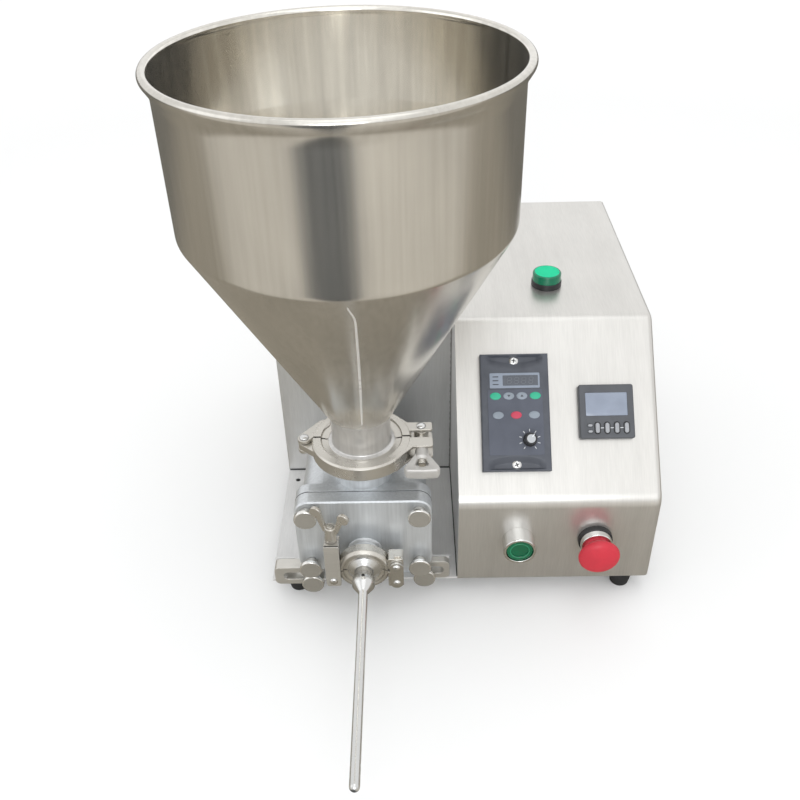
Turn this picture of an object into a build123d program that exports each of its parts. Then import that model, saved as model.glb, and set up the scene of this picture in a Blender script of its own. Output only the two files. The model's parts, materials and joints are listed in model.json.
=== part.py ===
from build123d import *
import math
import os

# Table-top cream filling machine: a hopper over a small two-rotor pump, driven by a gear motor
# in a stainless case, with a filling needle in front and a sloping control panel at the right.
# Millimetres. Working datum: X = 0 on the control box's left wall, Y = 0 on its front face with
# +Y to the rear, Z = 0 on the lower edge of the case. The finished model is moved so that its
# origin is the middle of its footprint, at the table.

# Case
CONTROL_WIDTH = 178.0
REAR_WIDTH = 173.0
CASE_DEPTH = 363.0
CASE_HEIGHT = 212.0
FRONT_HEIGHT = 94.0
PANEL_TILT = 45.0
RECESS_DEPTH = 157.0
SHEET = 1.5
BEND_RADIUS = 5.0
SLOPE_BEND_RADIUS = 12.0
BASE_SHEET = 2.0
REAR_LIP = 12.0
FIT_GAP = 0.2
RUN_GAP = 0.3
OVERCUT = 1.0
EDGE_BREAK = 0.8
FOOT_HEIGHT = 20.0
FOOT_TOP_RADIUS = 11.2
FOOT_BOTTOM_RADIUS = 8.5
FOOT_INSET_X = 22.5
FOOT_INSET_Y = 14.0
FOOT_HOLE_RADIUS = 3.0
FOOT_HOLE_DEPTH = 12.0
DRAIN_MARGIN = 11.0
DRAIN_Y = 140.0
DRAIN_RADIUS = 2.5
VENT_COUNT = 7
VENT_PITCH = 9.0
VENT_LENGTH = 60.0
VENT_WIDTH = 4.0
SCREW_RADIUS = 2.0
SCREW_HEAD_RADIUS = 3.8
SCREW_HEAD = 2.2
INLET_X = 120.0
INLET_Z = 45.0
INLET_WIDTH = 27.0
INLET_HEIGHT = 20.0
INLET_DEPTH = 26.0
INLET_FLANGE = 3.0
INLET_RIM = 4.0

# Panel devices with a 22 mm barrel
BARREL_RADIUS = 11.0
BARREL_LENGTH = 30.0
HOLE_RADIUS = 11.2
NUT_RADIUS = 15.0
NUT_HEIGHT = 4.0
LAMP_X = 90.0
LAMP_Y = 177.0
LAMP_BASE_RADIUS = 14.2
LAMP_BASE_HEIGHT = 5.6
LAMP_LENS_RADIUS = 13.4
LAMP_LENS_HEIGHT = 8.0
LAMP_LENS_EDGE = 1.5
START_X = 54.0
BUTTON_Z = 50.0
START_BEZEL_RADIUS = 14.6
START_BEZEL_HEIGHT = 16.0
START_CAP_RADIUS = 11.8
START_CAP_SINK = 1.0
START_CAP_TRAVEL = 3.0
START_CAP_HEIGHT = 7.0
START_RING_RADIUS = 8.2
START_DISH_RADIUS = 7.4
START_DISH = 0.9
ESTOP_X = 123.0
ESTOP_COLLAR_RADIUS = 15.4
ESTOP_COLLAR_HEIGHT = 5.0
ESTOP_BEZEL_RADIUS = 14.2
ESTOP_BEZEL_HEIGHT = 6.0
ESTOP_HEAD_RADIUS = 18.2
ESTOP_HEAD_HEIGHT = 14.0
ESTOP_NECK_RADIUS = 11.6
ESTOP_STEM_RADIUS = 6.0
ESTOP_TRAVEL = 4.0
ESTOP_FLARE = 1.5
ESTOP_SHOULDER_RADIUS = 16.0
ESTOP_SHOULDER_DROP = 2.9

# Speed controller on the slope
CTRL_X = 51.1
CTRL_V = 79.3
CTRL_WIDTH = 60.0
CTRL_HEIGHT = 104.0
CTRL_RISE = 9.0
CTRL_BODY_INSET = 3.0
CTRL_BODY_DEPTH = 60.0
CTRL_END = 12.0
CTRL_END_SINK = 4.5
CTRL_RIM = 5.0
CTRL_SCREW_V = 46.2
CTRL_CORNER = 1.5
DISPLAY_V = 28.0
DISPLAY_WIDTH = 44.0
DISPLAY_HEIGHT = 13.5
DISPLAY_SINK = 0.8
OVERLAY = 0.4
OVERLAY_WIDTH = 48.0
OVERLAY_TOP = 20.0
OVERLAY_BOTTOM = -38.0
KEY_LENGTH = 9.6
KEY_WIDTH = 6.6
KEY_RISE = 0.8
KEY_ROW_1_V = 14.2
KEY_ROW_1_X = (-17.3, -5.6, 5.9, 17.7)
KEY_ROW_2_V = -2.8
KEY_ROW_2_X = (-15.3, 0.5, 16.3)
KNOB_X = 11.6
KNOB_V = -24.8
KNOB_RADIUS = 6.2
KNOB_HEIGHT = 10.0
KNOB_SHAFT_RADIUS = 3.0
KNOB_SHAFT_DEPTH = 6.0
KNOB_TAPER = 0.5
KNOB_POINTER = 2.4
KNOB_POINTER_WIDTH = 1.0
KNOB_REST_ANGLE = -35.0

# Timer on the slope
TIMER_X = 131.2
TIMER_V = 78.9
TIMER_SIZE = 48.0
TIMER_RISE = 7.0
TIMER_CORNER = 2.0
TIMER_BODY = 44.6
TIMER_BODY_DEPTH = 58.0
SCREEN_V = 6.4
SCREEN_WIDTH = 36.5
SCREEN_HEIGHT = 20.5
SCREEN_SINK = 0.8
ROCKER_X = (-8.7, -0.2, 8.3, 16.8)
ROCKER_V = -14.7
ROCKER_WIDTH = 3.6
ROCKER_LENGTH = 9.0
ROCKER_RISE = 1.2
ROCKER_SINK = 2.4
ROCKER_EDGE = 0.4
POCKET_GAP = 0.35
POCKET_FLOOR = 0.6
SMALL_KEY_X = -15.0
SMALL_KEY_V = (-12.4, -17.7)
SMALL_KEY_LENGTH = 3.8
SMALL_KEY_WIDTH = 2.0
SMALL_KEY_TRAVEL = 0.6

# Pump
PUMP_FROM_CONTROL = 84.0
COVER_FRONT = -10.0
COVER_THICK = 13.5
COVER_WIDTH = 120.0
COVER_HEIGHT = 83.0
COVER_BOTTOM = 24.5
COVER_CORNER = 13.0
COVER_BEVEL = 1.2
GASKET = 0.8
FLANGE_THICK = 10.5
BODY_WIDTH = 112.0
BODY_HEIGHT = 78.0
BODY_CORNER = 20.0
BODY_REAR = 92.0
NECK_RADIUS = 24.0
PUMP_FOOT_WIDTH = 110.0
PUMP_FOOT_FRONT = 6.0
PITCH_RADIUS = 20.0
LOBES = 6
LOBE_GAP = 0.15
LOBE_POINTS = 9
CHAMBER_GAP = 0.35
CHAMBER_DEPTH = 42.0
END_GAP = 0.2
SHAFT_RADIUS = 8.0
SHAFT_GAP = 0.05
BUSH_RADIUS = 12.0
FRONT_BUSH = 20.0
REAR_BUSH = 16.0
JOURNAL_FRONT = 7.5
JOURNAL_REAR = 28.0
INLET_DUCT_RADIUS = 15.0
OUTLET_DUCT_RADIUS = 11.0

# Cover knobs and hold-down screws share one disc head
STUD_RADIUS = 4.0
STUD_INSET = 11.0
DISC_RADIUS = 10.0
DISC_THICK = 3.5
DISC_NECK = 7.5
DISC_NECK_RADIUS = 5.5
DISC_EDGE = 0.8
KNOB_BORE_END = 2.0
HOLD_Z = 12.5
HOLD_BOTTOM = 2.3
HOLD_HEIGHT = 21.0
HOLD_LEFT_THICK = 12.0
HOLD_RIGHT_THICK = 7.0
HOLD_CORNER = 5.0
HOLD_LEFT_MARGIN = 4.0
HOLD_RIGHT_MARGIN = 7.6
HOLD_LEFT_BRIDGE = 8.0
HOLD_RIGHT_BRIDGE = 5.4
HOLD_LEFT_REACH = 40.0
HOLD_RIGHT_REACH = 45.0
HOLD_LEFT_STEP = 49.0
HOLD_RIGHT_STEP = 53.0
HOLD_SCREW_REACH = 14.0
POST_WIDTH = 18.0

# Hopper and its clamp, about a vertical axis
HOPPER_Y = 31.0
HOPPER_SEAT_Z = 139.5
CLAMP_GASKET = 1.6
HOPPER_RADIUS = 124.9
HOPPER_WALL = 1.2
HOPPER_CONE_TOP = 355.0
HOPPER_FLARE_Z = 456.0
HOPPER_TOP = 470.3
RIM_RADIUS = 127.4
RIM_BEAD = 3.3
NECK_TOP = 171.0
INLET_TUBE = 25.5
INLET_FERRULE = 32.0
TUBE_WALL = 1.5
FERRULE_RIM = 2.8
FERRULE_TAPER = 20.0
CLAMP_GAP = 0.15
H_CLAMP_OUTER = 43.5
H_CLAMP_LIP = 28.8
H_CLAMP_HALF = 7.3
CLAMP_CHAMFER = 1.5
CLAMP_SPLIT = 0.75
HINGE_X = 50.0
HINGE_ARM_X = 34.0
HINGE_ARM_Y = 20.0
HINGE_PIN_RADIUS = 3.0
HINGE_EYE = 5.8
HINGE_TONGUE = 3.2
PIN_HEAD = 1.8
PIN_HEAD_LIP = 1.2
PIN_HEAD_TAPER = 1.0
PIN_GAP = 0.05
EAR_START = 38.0
EAR_END = 62.0
EAR_FRONT = -14.0
EAR_FRONT_BACK = -1.5
EAR_REAR_FRONT = 8.5
EAR_REAR_BACK = 19.5
BOLT_X = 52.0
BOLT_PIVOT_Y = 14.0
BOLT_RADIUS = 3.5
BOLT_EYE = 6.5
BOLT_EYE_HALF = 4.0
BOLT_SLOT_HALF = 4.3
BOLT_SLOT_PLAY = 1.2
BOLT_REACH = 45.0
SEAT_ARC = 25.6
NUT_START = 26.0
H_NUT_HUB = 6.0
H_NUT_HUB_LENGTH = 14.0
H_NUT_LENGTH = 32.0
H_NUT_SPAN = 15.5
H_NUT_THICK = 7.0
H_NUT_EDGE = 1.0
H_NUT_TIP = 5.0
H_NUT_TIP_LEAN = 2.0
H_NUT_WINDOW = 5.6

# Outlet, its clamp and the needle, about a level axis that points to the front
OUTLET_Z = 49.0
OUTLET_SEAT = 18.5
OUTLET_TUBE = 12.7
OUTLET_FERRULE = 17.0
O_CLAMP_OUTER = 23.0
O_CLAMP_LIP = 14.6
O_CLAMP_HALF = 6.4
LUG_CLEAR = 22.0
LUG_SPLIT = 2.0
LATCH_LUG_OUT = 33.5
LUG_IN = 18.0
LUG_OUT = 34.5
STUD_X = 27.0
LUG_TOP = 28.5
LUG_BOTTOM = 19.0
LATCH_PIN = -10.0
LATCH_PIN_RADIUS = 2.5
LATCH_WIDTH = 13.0
LATCH_SHEET = 2.3
LATCH_TOP = 31.8
LATCH_BACK = -5.4
LATCH_HEEL = 5.5
O_STUD_RADIUS = 3.0
O_STUD_TOP = 49.0
O_NUT_GAP = 0.8
O_NUT_HUB = 5.5
O_NUT_HUB_HEIGHT = 15.5
O_NUT_LOBE_X = 12.8
O_NUT_LOBE_Y = 60.5
O_NUT_LOBE = 5.4
O_NUT_THICK = 3.2
O_NUT_REST_ANGLE = -22.5
LINK_X = 28.5
LINK_UPPER = 5.0
LINK_LOWER = -14.0
LINK_HALF = 5.8
LINK_SHEET = 2.2
LINK_LUG_TOP = 13.5
NOZZLE_SHOULDER = 13.8
NOZZLE_CONE = 3.0
HUB_RADIUS = 8.4
HUB_END = 16.5
NOZZLE_NUT_RADIUS = 9.6
NOZZLE_NUT_LENGTH = 7.0
NOZZLE_TAPER = 8.5
NEEDLE_RADIUS = 3.9
NEEDLE_BORE = 2.9
NEEDLE_LENGTH = 211.5
NEEDLE_PORT_RADIUS = 1.3
NEEDLE_PORT_BACK = 20.0
NEEDLE_TIP_WALL = 2.5

# Drive in the rear housing
DRIVE_SPACE = 43.0
GEARBOX_SIZE = 90.0
GEARBOX_LENGTH = 62.0
GEARBOX_OFFSET = 18.0
MOTOR_RADIUS = 44.0
MOTOR_REAR_GAP = 7.5
MOTOR_FLANGE = 6.0
GEAR_SHAFT_RADIUS = 7.5
GEAR_SHAFT_SINK = 12.0
COUPLING_RADIUS = 16.0
COUPLING_LENGTH = 28.0
COUPLING_GAP = 6.0
COUPLING_GROOVE = 2.0
BRACKET_SHEET = 5.0
BRACKET_MARGIN = 5.0
BRACKET_FOOT = 46.0
BOSS_RADIUS = 17.0

# Positions that follow from the sizes above
TILT = math.radians(PANEL_TILT)
PANEL_RUN = (CASE_HEIGHT - FRONT_HEIGHT) / math.tan(TILT)
PUMP_X = -PUMP_FROM_CONTROL
HOLD_LEFT_OUT = HOLD_LEFT_MARGIN - REAR_WIDTH
HOLD_LEFT_IN = PUMP_X - HOLD_LEFT_REACH
HOLD_LEFT_SLOT = HOLD_LEFT_OUT + HOLD_LEFT_BRIDGE
HOLD_LEFT_SCREW = PUMP_X - HOLD_LEFT_STEP
HOLD_RIGHT_OUT = -HOLD_RIGHT_MARGIN
HOLD_RIGHT_IN = PUMP_X + HOLD_RIGHT_REACH
HOLD_RIGHT_SLOT = HOLD_RIGHT_OUT - HOLD_RIGHT_BRIDGE
HOLD_RIGHT_SCREW = PUMP_X + HOLD_RIGHT_STEP
GEARBOX_FRONT = RECESS_DEPTH + DRIVE_SPACE
MOTOR_LENGTH = CASE_DEPTH - SHEET - MOTOR_REAR_GAP - GEARBOX_FRONT - GEARBOX_LENGTH
COVER_BACK = COVER_FRONT + COVER_THICK
FLANGE_FRONT = COVER_BACK + GASKET
FLANGE_BACK = FLANGE_FRONT + FLANGE_THICK
COVER_MID_Z = COVER_BOTTOM + COVER_HEIGHT / 2
CHAMBER_BACK = COVER_BACK + CHAMBER_DEPTH
DRIVE_X = PUMP_X - PITCH_RADIUS
IDLER_X = PUMP_X + PITCH_RADIUS
LOBE_CIRCLE = PITCH_RADIUS / (2 * LOBES)
CHAMBER_RADIUS = PITCH_RADIUS + 2 * LOBE_CIRCLE - LOBE_GAP + CHAMBER_GAP
CLAMP_Y = COVER_FRONT - OUTLET_SEAT
COUPLING_BACK = GEARBOX_FRONT - BRACKET_SHEET - RUN_GAP
COUPLING_FRONT = COUPLING_BACK - COUPLING_LENGTH
COUPLING_MID = (COUPLING_BACK + COUPLING_FRONT) / 2
DISC_STEP = DISC_NECK + DISC_THICK


def block(x, y, z):
    """Box between the low and high value of each axis."""
    middle = Pos((x[0] + x[1]) / 2, (y[0] + y[1]) / 2, (z[0] + z[1]) / 2)
    return middle * Box(x[1] - x[0], y[1] - y[0], z[1] - z[0])


def rod(radius, low, high):
    """Cylinder about Z from one height to another."""
    return Pos(0, 0, (low + high) / 2) * Cylinder(radius, high - low)


def turned(*profile):
    """Solid of revolution about Z from points of (radius, height)."""
    return revolve(Plane.XZ * make_face(Polyline(*profile, close=True)), Axis.Z)


def plate(width, height, corner, low, high):
    """Rounded rectangular plate about Z, from one height to another."""
    return Pos(0, 0, low) * extrude(RectangleRounded(width, height, corner), high - low)


def together(pieces):
    """Several separate solids as one piece."""
    return Compound([solid for piece in pieces for solid in piece.solids()])


def facing_front(x, y, z):
    """Place for a piece whose own Z points to the front and whose own Y points up."""
    return Pos(x, y, z) * Rot(90, 0, 0)


def on_slope(x, v):
    """Place on the sloping panel, v millimetres up from its lower edge, own Z outwards."""
    return Pos(x, v * math.cos(TILT), FRONT_HEIGHT + v * math.sin(TILT)) * Rot(PANEL_TILT, 0, 0)


CONTROLLER = on_slope(CTRL_X, CTRL_V)
TIMER = on_slope(TIMER_X, TIMER_V)
LAMP = Pos(LAMP_X, LAMP_Y, CASE_HEIGHT)
START = facing_front(START_X, 0, BUTTON_Z)
ESTOP = facing_front(ESTOP_X, 0, BUTTON_Z)
HOPPER = Pos(PUMP_X, HOPPER_Y, HOPPER_SEAT_Z)
OUTLET = facing_front(PUMP_X, CLAMP_Y, OUTLET_Z)
DRIVE = facing_front(DRIVE_X, 0, COVER_MID_Z)
IDLER = facing_front(IDLER_X, 0, COVER_MID_Z)
PUMP = facing_front(PUMP_X, 0, COVER_MID_Z)
STUD_X_STEP = COVER_WIDTH / 2 - STUD_INSET
STUD_Z_STEP = COVER_HEIGHT / 2 - STUD_INSET
STUDS = [
    (PUMP_X + side * STUD_X_STEP, COVER_MID_Z + level * STUD_Z_STEP)
    for level in (1, -1)
    for side in (-1, 1)
]
FEET = [
    (x, y)
    for y in (FOOT_INSET_Y, CASE_DEPTH - FOOT_INSET_Y)
    for x in (-REAR_WIDTH + FOOT_INSET_X, CONTROL_WIDTH - FOOT_INSET_X)
]
REAR_MID_X = (CONTROL_WIDTH - REAR_WIDTH) / 2
REAR_SCREWS = [
    (x, z)
    for z in (BASE_SHEET + REAR_LIP / 2, CASE_HEIGHT - SHEET - REAR_LIP / 2)
    for x in (-REAR_WIDTH + SHEET + REAR_LIP, REAR_MID_X, CONTROL_WIDTH - SHEET - REAR_LIP)
]


# Case

def case_envelope(inset):
    """Control box and rear housing as one solid, drawn in by inset on the closed sides."""
    top = CASE_HEIGHT - inset
    knee = FRONT_HEIGHT - inset * math.tan((math.pi / 2 - TILT) / 2)
    crest = PANEL_RUN + inset * math.tan(TILT / 2)
    side = Polyline((inset, 0), (inset, knee), (crest, top), (CASE_DEPTH, top), (CASE_DEPTH, 0), close=True)
    control = extrude(Plane.YZ.offset(inset) * make_face(side), CONTROL_WIDTH - 2 * inset)
    bends = [
        edge
        for edge in control.edges().filter_by(Axis.X)
        if edge.center().Z > knee - SHEET and edge.center().Y < CASE_DEPTH - SHEET
    ]
    control = fillet(bends, SLOPE_BEND_RADIUS - inset)
    rear = block((-REAR_WIDTH + inset, CONTROL_WIDTH / 2), (RECESS_DEPTH + inset, CASE_DEPTH), (0, top))
    envelope = control + rear
    right = [
        edge
        for edge in envelope.edges()
        if edge.center().X > CONTROL_WIDTH - inset - SHEET / 2
        and edge.center().Z > SHEET
        and edge.center().Y < CASE_DEPTH - SHEET
    ]
    return fillet(right, BEND_RADIUS - inset)


def housing_shell():
    """Folded and welded sheet case, open below and behind, with a lip for the rear panel."""
    shell = case_envelope(0) - case_envelope(SHEET)
    inside_x = (-REAR_WIDTH + SHEET / 2, CONTROL_WIDTH - SHEET / 2)
    lip_y = (CASE_DEPTH - 2 * SHEET - FIT_GAP, CASE_DEPTH - SHEET - FIT_GAP)
    lip = block(inside_x, lip_y, (BASE_SHEET + FIT_GAP, CASE_HEIGHT - SHEET / 2))
    lip -= block(
        (-REAR_WIDTH + SHEET + REAR_LIP, CONTROL_WIDTH - SHEET - REAR_LIP),
        (0, CASE_DEPTH),
        (BASE_SHEET + REAR_LIP, CASE_HEIGHT - SHEET - REAR_LIP),
    )
    lip = lip & case_envelope(SHEET / 2)
    shell += lip
    for x, z in REAR_SCREWS:
        shell -= facing_front(x, CASE_DEPTH, z) * rod(SCREW_RADIUS + SHAFT_GAP, 0, 4 * SHEET)
    shell -= Pos(0, 0, -SHEET) * block(
        (-REAR_WIDTH - SHEET, SHEET + FIT_GAP),
        (-SHEET, RECESS_DEPTH + SHEET + FIT_GAP),
        (0, SHEET + BASE_SHEET),
    )
    shell -= LAMP * rod(HOLE_RADIUS, -2 * SHEET, SHEET)
    shell -= START * rod(HOLE_RADIUS, -2 * SHEET, SHEET)
    shell -= ESTOP * rod(HOLE_RADIUS, -2 * SHEET, SHEET)
    opening = 2 * (CTRL_BODY_INSET - FIT_GAP)
    cut_width = CTRL_WIDTH - opening
    cut_height = CTRL_HEIGHT - opening
    shell -= CONTROLLER * Box(cut_width, cut_height, 4 * SHEET)
    shell -= TIMER * Box(TIMER_BODY + 2 * FIT_GAP, TIMER_BODY + 2 * FIT_GAP, 4 * SHEET)
    shell -= DRIVE * rod(SHAFT_RADIUS + 2 * SHEET, -RECESS_DEPTH - 2 * SHEET, SHEET - RECESS_DEPTH)
    return shell


def base_plate():
    """Floor sheet: it shows in the pump recess, passes under its walls and fills the case's underside."""
    wall = SHEET + FIT_GAP
    outline = Polyline(
        (-REAR_WIDTH, 0),
        (0, 0),
        (0, wall),
        (CONTROL_WIDTH - wall, wall),
        (CONTROL_WIDTH - wall, CASE_DEPTH - wall),
        (-REAR_WIDTH + wall, CASE_DEPTH - wall),
        (-REAR_WIDTH + wall, RECESS_DEPTH),
        (-REAR_WIDTH, RECESS_DEPTH),
        close=True,
    )
    sheet = extrude(make_face(outline), BASE_SHEET)
    bent = [
        edge
        for edge in sheet.edges().filter_by(Axis.Z)
        if edge.center().X > CONTROL_WIDTH / 2 and edge.center().Y < CASE_DEPTH / 2
    ]
    sheet = fillet(bent, BEND_RADIUS - SHEET)
    top = HOLD_BOTTOM + HOLD_HEIGHT
    posts = (
        (HOLD_LEFT_OUT, HOLD_LEFT_OUT + POST_WIDTH),
        (HOLD_RIGHT_OUT - POST_WIDTH, HOLD_RIGHT_OUT),
    )
    for span in posts:
        sheet += block(span, (PUMP_FOOT_FRONT, PUMP_FOOT_FRONT + BASE_SHEET), (0, top))
    for x, y in FEET:
        sheet -= Pos(x, y, 0) * rod(FOOT_HOLE_RADIUS, -SHEET, 2 * BASE_SHEET)
    return sheet - Pos(DRAIN_MARGIN - REAR_WIDTH, DRAIN_Y, 0) * rod(DRAIN_RADIUS, -SHEET, 2 * BASE_SHEET)


def rear_panel():
    """Screwed-on back sheet with two columns of vent slots and the mains inlet's cut-out."""
    wall = SHEET + FIT_GAP
    panel = block(
        (-REAR_WIDTH + wall, CONTROL_WIDTH - wall),
        (CASE_DEPTH - SHEET, CASE_DEPTH),
        (BASE_SHEET + FIT_GAP, CASE_HEIGHT - wall),
    )
    corners = [
        edge
        for edge in panel.edges().filter_by(Axis.Y)
        if edge.center().X > 0 and edge.center().Z > CASE_HEIGHT / 2
    ]
    panel = fillet(corners, BEND_RADIUS - SHEET)
    for side in (-1, 1):
        for step in range(VENT_COUNT):
            level = CASE_HEIGHT / 2 + (step - (VENT_COUNT - 1) / 2) * VENT_PITCH
            x = REAR_MID_X + side * VENT_LENGTH
            slot = extrude(SlotOverall(VENT_LENGTH, VENT_WIDTH), 2 * SHEET, both=True)
            panel -= facing_front(x, CASE_DEPTH, level) * slot
    panel -= facing_front(INLET_X, CASE_DEPTH, INLET_Z) * Box(
        INLET_WIDTH + 2 * FIT_GAP, INLET_HEIGHT + 2 * FIT_GAP, 4 * SHEET
    )
    for x, z in REAR_SCREWS:
        panel -= facing_front(x, CASE_DEPTH, z) * rod(SCREW_RADIUS + FIT_GAP, -SHEET, 2 * SHEET)
    return panel


def screw(length):
    """Pan-head screw along Z, its head above zero."""
    head = turned(
        (0, 0),
        (SCREW_HEAD_RADIUS, 0),
        (SCREW_HEAD_RADIUS, SCREW_HEAD / 2),
        (SCREW_HEAD_RADIUS / 2, SCREW_HEAD),
        (0, SCREW_HEAD),
    )
    return head + rod(SCREW_RADIUS, -length, 0)


def panel_screws():
    """Six rear panel screws and the controller's two."""
    back = Rot(-90, 0, 0) * screw(3 * SHEET)
    screws = [Pos(x, CASE_DEPTH, z) * back for x, z in REAR_SCREWS]
    seat = CTRL_RISE - CTRL_END_SINK
    for end in (-1, 1):
        screws.append(CONTROLLER * Pos(0, end * CTRL_SCREW_V, seat) * screw(seat))
    return together(screws)


def rubber_feet():
    """Four tapered feet, each with its screw pocket from below."""
    foot = turned(
        (0, FOOT_HOLE_DEPTH - FOOT_HEIGHT),
        (FOOT_HOLE_RADIUS, FOOT_HOLE_DEPTH - FOOT_HEIGHT),
        (FOOT_HOLE_RADIUS, -FOOT_HEIGHT),
        (FOOT_BOTTOM_RADIUS, -FOOT_HEIGHT),
        (FOOT_TOP_RADIUS, -FOOT_HEIGHT / 4),
        (FOOT_TOP_RADIUS, 0),
        (0, 0),
    )
    return together([Pos(x, y, 0) * foot for x, y in FEET])


def power_inlet():
    """Three-pin mains inlet in the rear panel."""
    inlet = Pos(0, 0, -INLET_DEPTH / 2) * Box(INLET_WIDTH, INLET_HEIGHT, INLET_DEPTH)
    inlet += plate(INLET_WIDTH + 5 * INLET_RIM, INLET_HEIGHT + INLET_RIM, INLET_RIM / 2, 0, INLET_FLANGE)
    inlet -= Pos(0, 0, INLET_FLANGE) * Box(
        INLET_WIDTH - INLET_RIM, INLET_HEIGHT - INLET_RIM, INLET_DEPTH
    )
    floor = INLET_FLANGE - INLET_DEPTH / 2
    for x, y in ((-INLET_WIDTH / 4, 0), (0, INLET_HEIGHT / 6), (INLET_WIDTH / 4, 0)):
        inlet += Pos(x, y, floor + INLET_DEPTH / 4) * Box(INLET_RIM / 2, INLET_RIM, INLET_DEPTH / 2)
    return Pos(INLET_X, CASE_DEPTH, INLET_Z) * Rot(-90, 0, 0) * inlet


# Lamp and buttons

def lamp_body():
    """Black lamp base on the top sheet with its threaded barrel below."""
    body = rod(LAMP_BASE_RADIUS, 0, LAMP_BASE_HEIGHT)
    body = fillet(body.edges().group_by(Axis.Z)[-1], LAMP_BASE_HEIGHT / 4)
    return LAMP * (body + rod(BARREL_RADIUS, -BARREL_LENGTH, 0))


def lamp_lens():
    """Green lens: a low drum with a flat top and a rounded edge."""
    lens = rod(LAMP_LENS_RADIUS, LAMP_BASE_HEIGHT, LAMP_BASE_HEIGHT + LAMP_LENS_HEIGHT)
    lens = fillet(lens.edges().group_by(Axis.Z)[-1], LAMP_LENS_EDGE)
    return LAMP * lens


def start_button_body():
    """Chrome bezel with a deep bore for the cap, and the barrel behind the sheet."""
    bore = START_CAP_RADIUS + RUN_GAP
    floor = START_BEZEL_HEIGHT - START_CAP_SINK - START_CAP_HEIGHT - START_CAP_TRAVEL - RUN_GAP
    bezel = turned(
        (0, -BARREL_LENGTH),
        (BARREL_RADIUS, -BARREL_LENGTH),
        (BARREL_RADIUS, 0),
        (START_BEZEL_RADIUS, 0),
        (START_BEZEL_RADIUS, START_BEZEL_HEIGHT - EDGE_BREAK),
        (START_BEZEL_RADIUS - EDGE_BREAK, START_BEZEL_HEIGHT),
        (bore, START_BEZEL_HEIGHT),
        (bore, floor),
        (0, floor),
    )
    return START * bezel


def start_button_cap():
    """Green cap with a raised ring on its face."""
    face = START_BEZEL_HEIGHT - START_CAP_SINK
    cap = turned(
        (0, face - START_CAP_HEIGHT),
        (START_CAP_RADIUS, face - START_CAP_HEIGHT),
        (START_CAP_RADIUS, face - EDGE_BREAK),
        (START_CAP_RADIUS - EDGE_BREAK, face),
        (START_RING_RADIUS, face),
        (START_DISH_RADIUS, face - START_DISH),
        (START_DISH_RADIUS / 2, face - START_DISH / 3),
        (0, face - START_DISH / 3),
    )
    return START * cap


def estop_collar():
    """Black collar on the front sheet with the stop button's barrel."""
    collar = rod(ESTOP_COLLAR_RADIUS, 0, ESTOP_COLLAR_HEIGHT)
    collar = fillet(collar.edges().group_by(Axis.Z)[-1], ESTOP_COLLAR_HEIGHT / 4)
    collar += rod(BARREL_RADIUS, -BARREL_LENGTH, 0)
    bore = ESTOP_STEM_RADIUS + RUN_GAP
    return ESTOP * (collar - rod(bore, -BARREL_LENGTH, ESTOP_COLLAR_HEIGHT))


def estop_bezel():
    """Chrome ring in front of the collar; the red neck slides in it."""
    top = ESTOP_COLLAR_HEIGHT + ESTOP_BEZEL_HEIGHT
    ring = rod(ESTOP_BEZEL_RADIUS, ESTOP_COLLAR_HEIGHT, top)
    ring = chamfer(ring.edges().group_by(Axis.Z)[-1], ESTOP_BEZEL_HEIGHT / 5)
    return ESTOP * (ring - rod(ESTOP_NECK_RADIUS + RUN_GAP, ESTOP_COLLAR_HEIGHT, top))


def estop_stem():
    """Push rod that carries the red head."""
    head_floor = ESTOP_COLLAR_HEIGHT + ESTOP_TRAVEL + RUN_GAP
    return ESTOP * rod(ESTOP_STEM_RADIUS, ESTOP_TRAVEL - BARREL_LENGTH, head_floor + ESTOP_NECK_RADIUS)


def estop_head():
    """Red mushroom head with its neck, turning on the push rod."""
    floor = ESTOP_COLLAR_HEIGHT + ESTOP_TRAVEL + RUN_GAP
    rim = ESTOP_COLLAR_HEIGHT + ESTOP_BEZEL_HEIGHT + ESTOP_TRAVEL + RUN_GAP
    wide = rim + ESTOP_HEAD_HEIGHT / 2
    top = rim + ESTOP_HEAD_HEIGHT
    side = Polyline(
        (0, floor),
        (ESTOP_NECK_RADIUS, floor),
        (ESTOP_NECK_RADIUS, rim),
        (ESTOP_NECK_RADIUS + ESTOP_FLARE, rim),
        (ESTOP_HEAD_RADIUS, wide),
    )
    crown = Spline(
        (ESTOP_HEAD_RADIUS, wide),
        (ESTOP_SHOULDER_RADIUS, top - ESTOP_SHOULDER_DROP),
        (0, top),
        tangents=((0, 1), (-1, 0)),
    )
    close = Line((0, top), (0, floor))
    head = revolve(Plane.XZ * make_face(side + crown + close), Axis.Z)
    bore = floor + ESTOP_NECK_RADIUS + SHAFT_GAP
    return ESTOP * (head - rod(ESTOP_STEM_RADIUS + SHAFT_GAP, floor, bore))


def panel_lock_nuts():
    """Hexagon nuts behind the sheet on the lamp's and buttons' barrels."""
    hexagon = extrude(RegularPolygon(NUT_RADIUS, 6, major_radius=False), NUT_HEIGHT)
    nut = Pos(0, 0, -SHEET - NUT_HEIGHT) * (hexagon - rod(BARREL_RADIUS + SHAFT_GAP, 0, NUT_HEIGHT))
    return together([place * nut for place in (LAMP, START, ESTOP)])


# Speed controller

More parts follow.
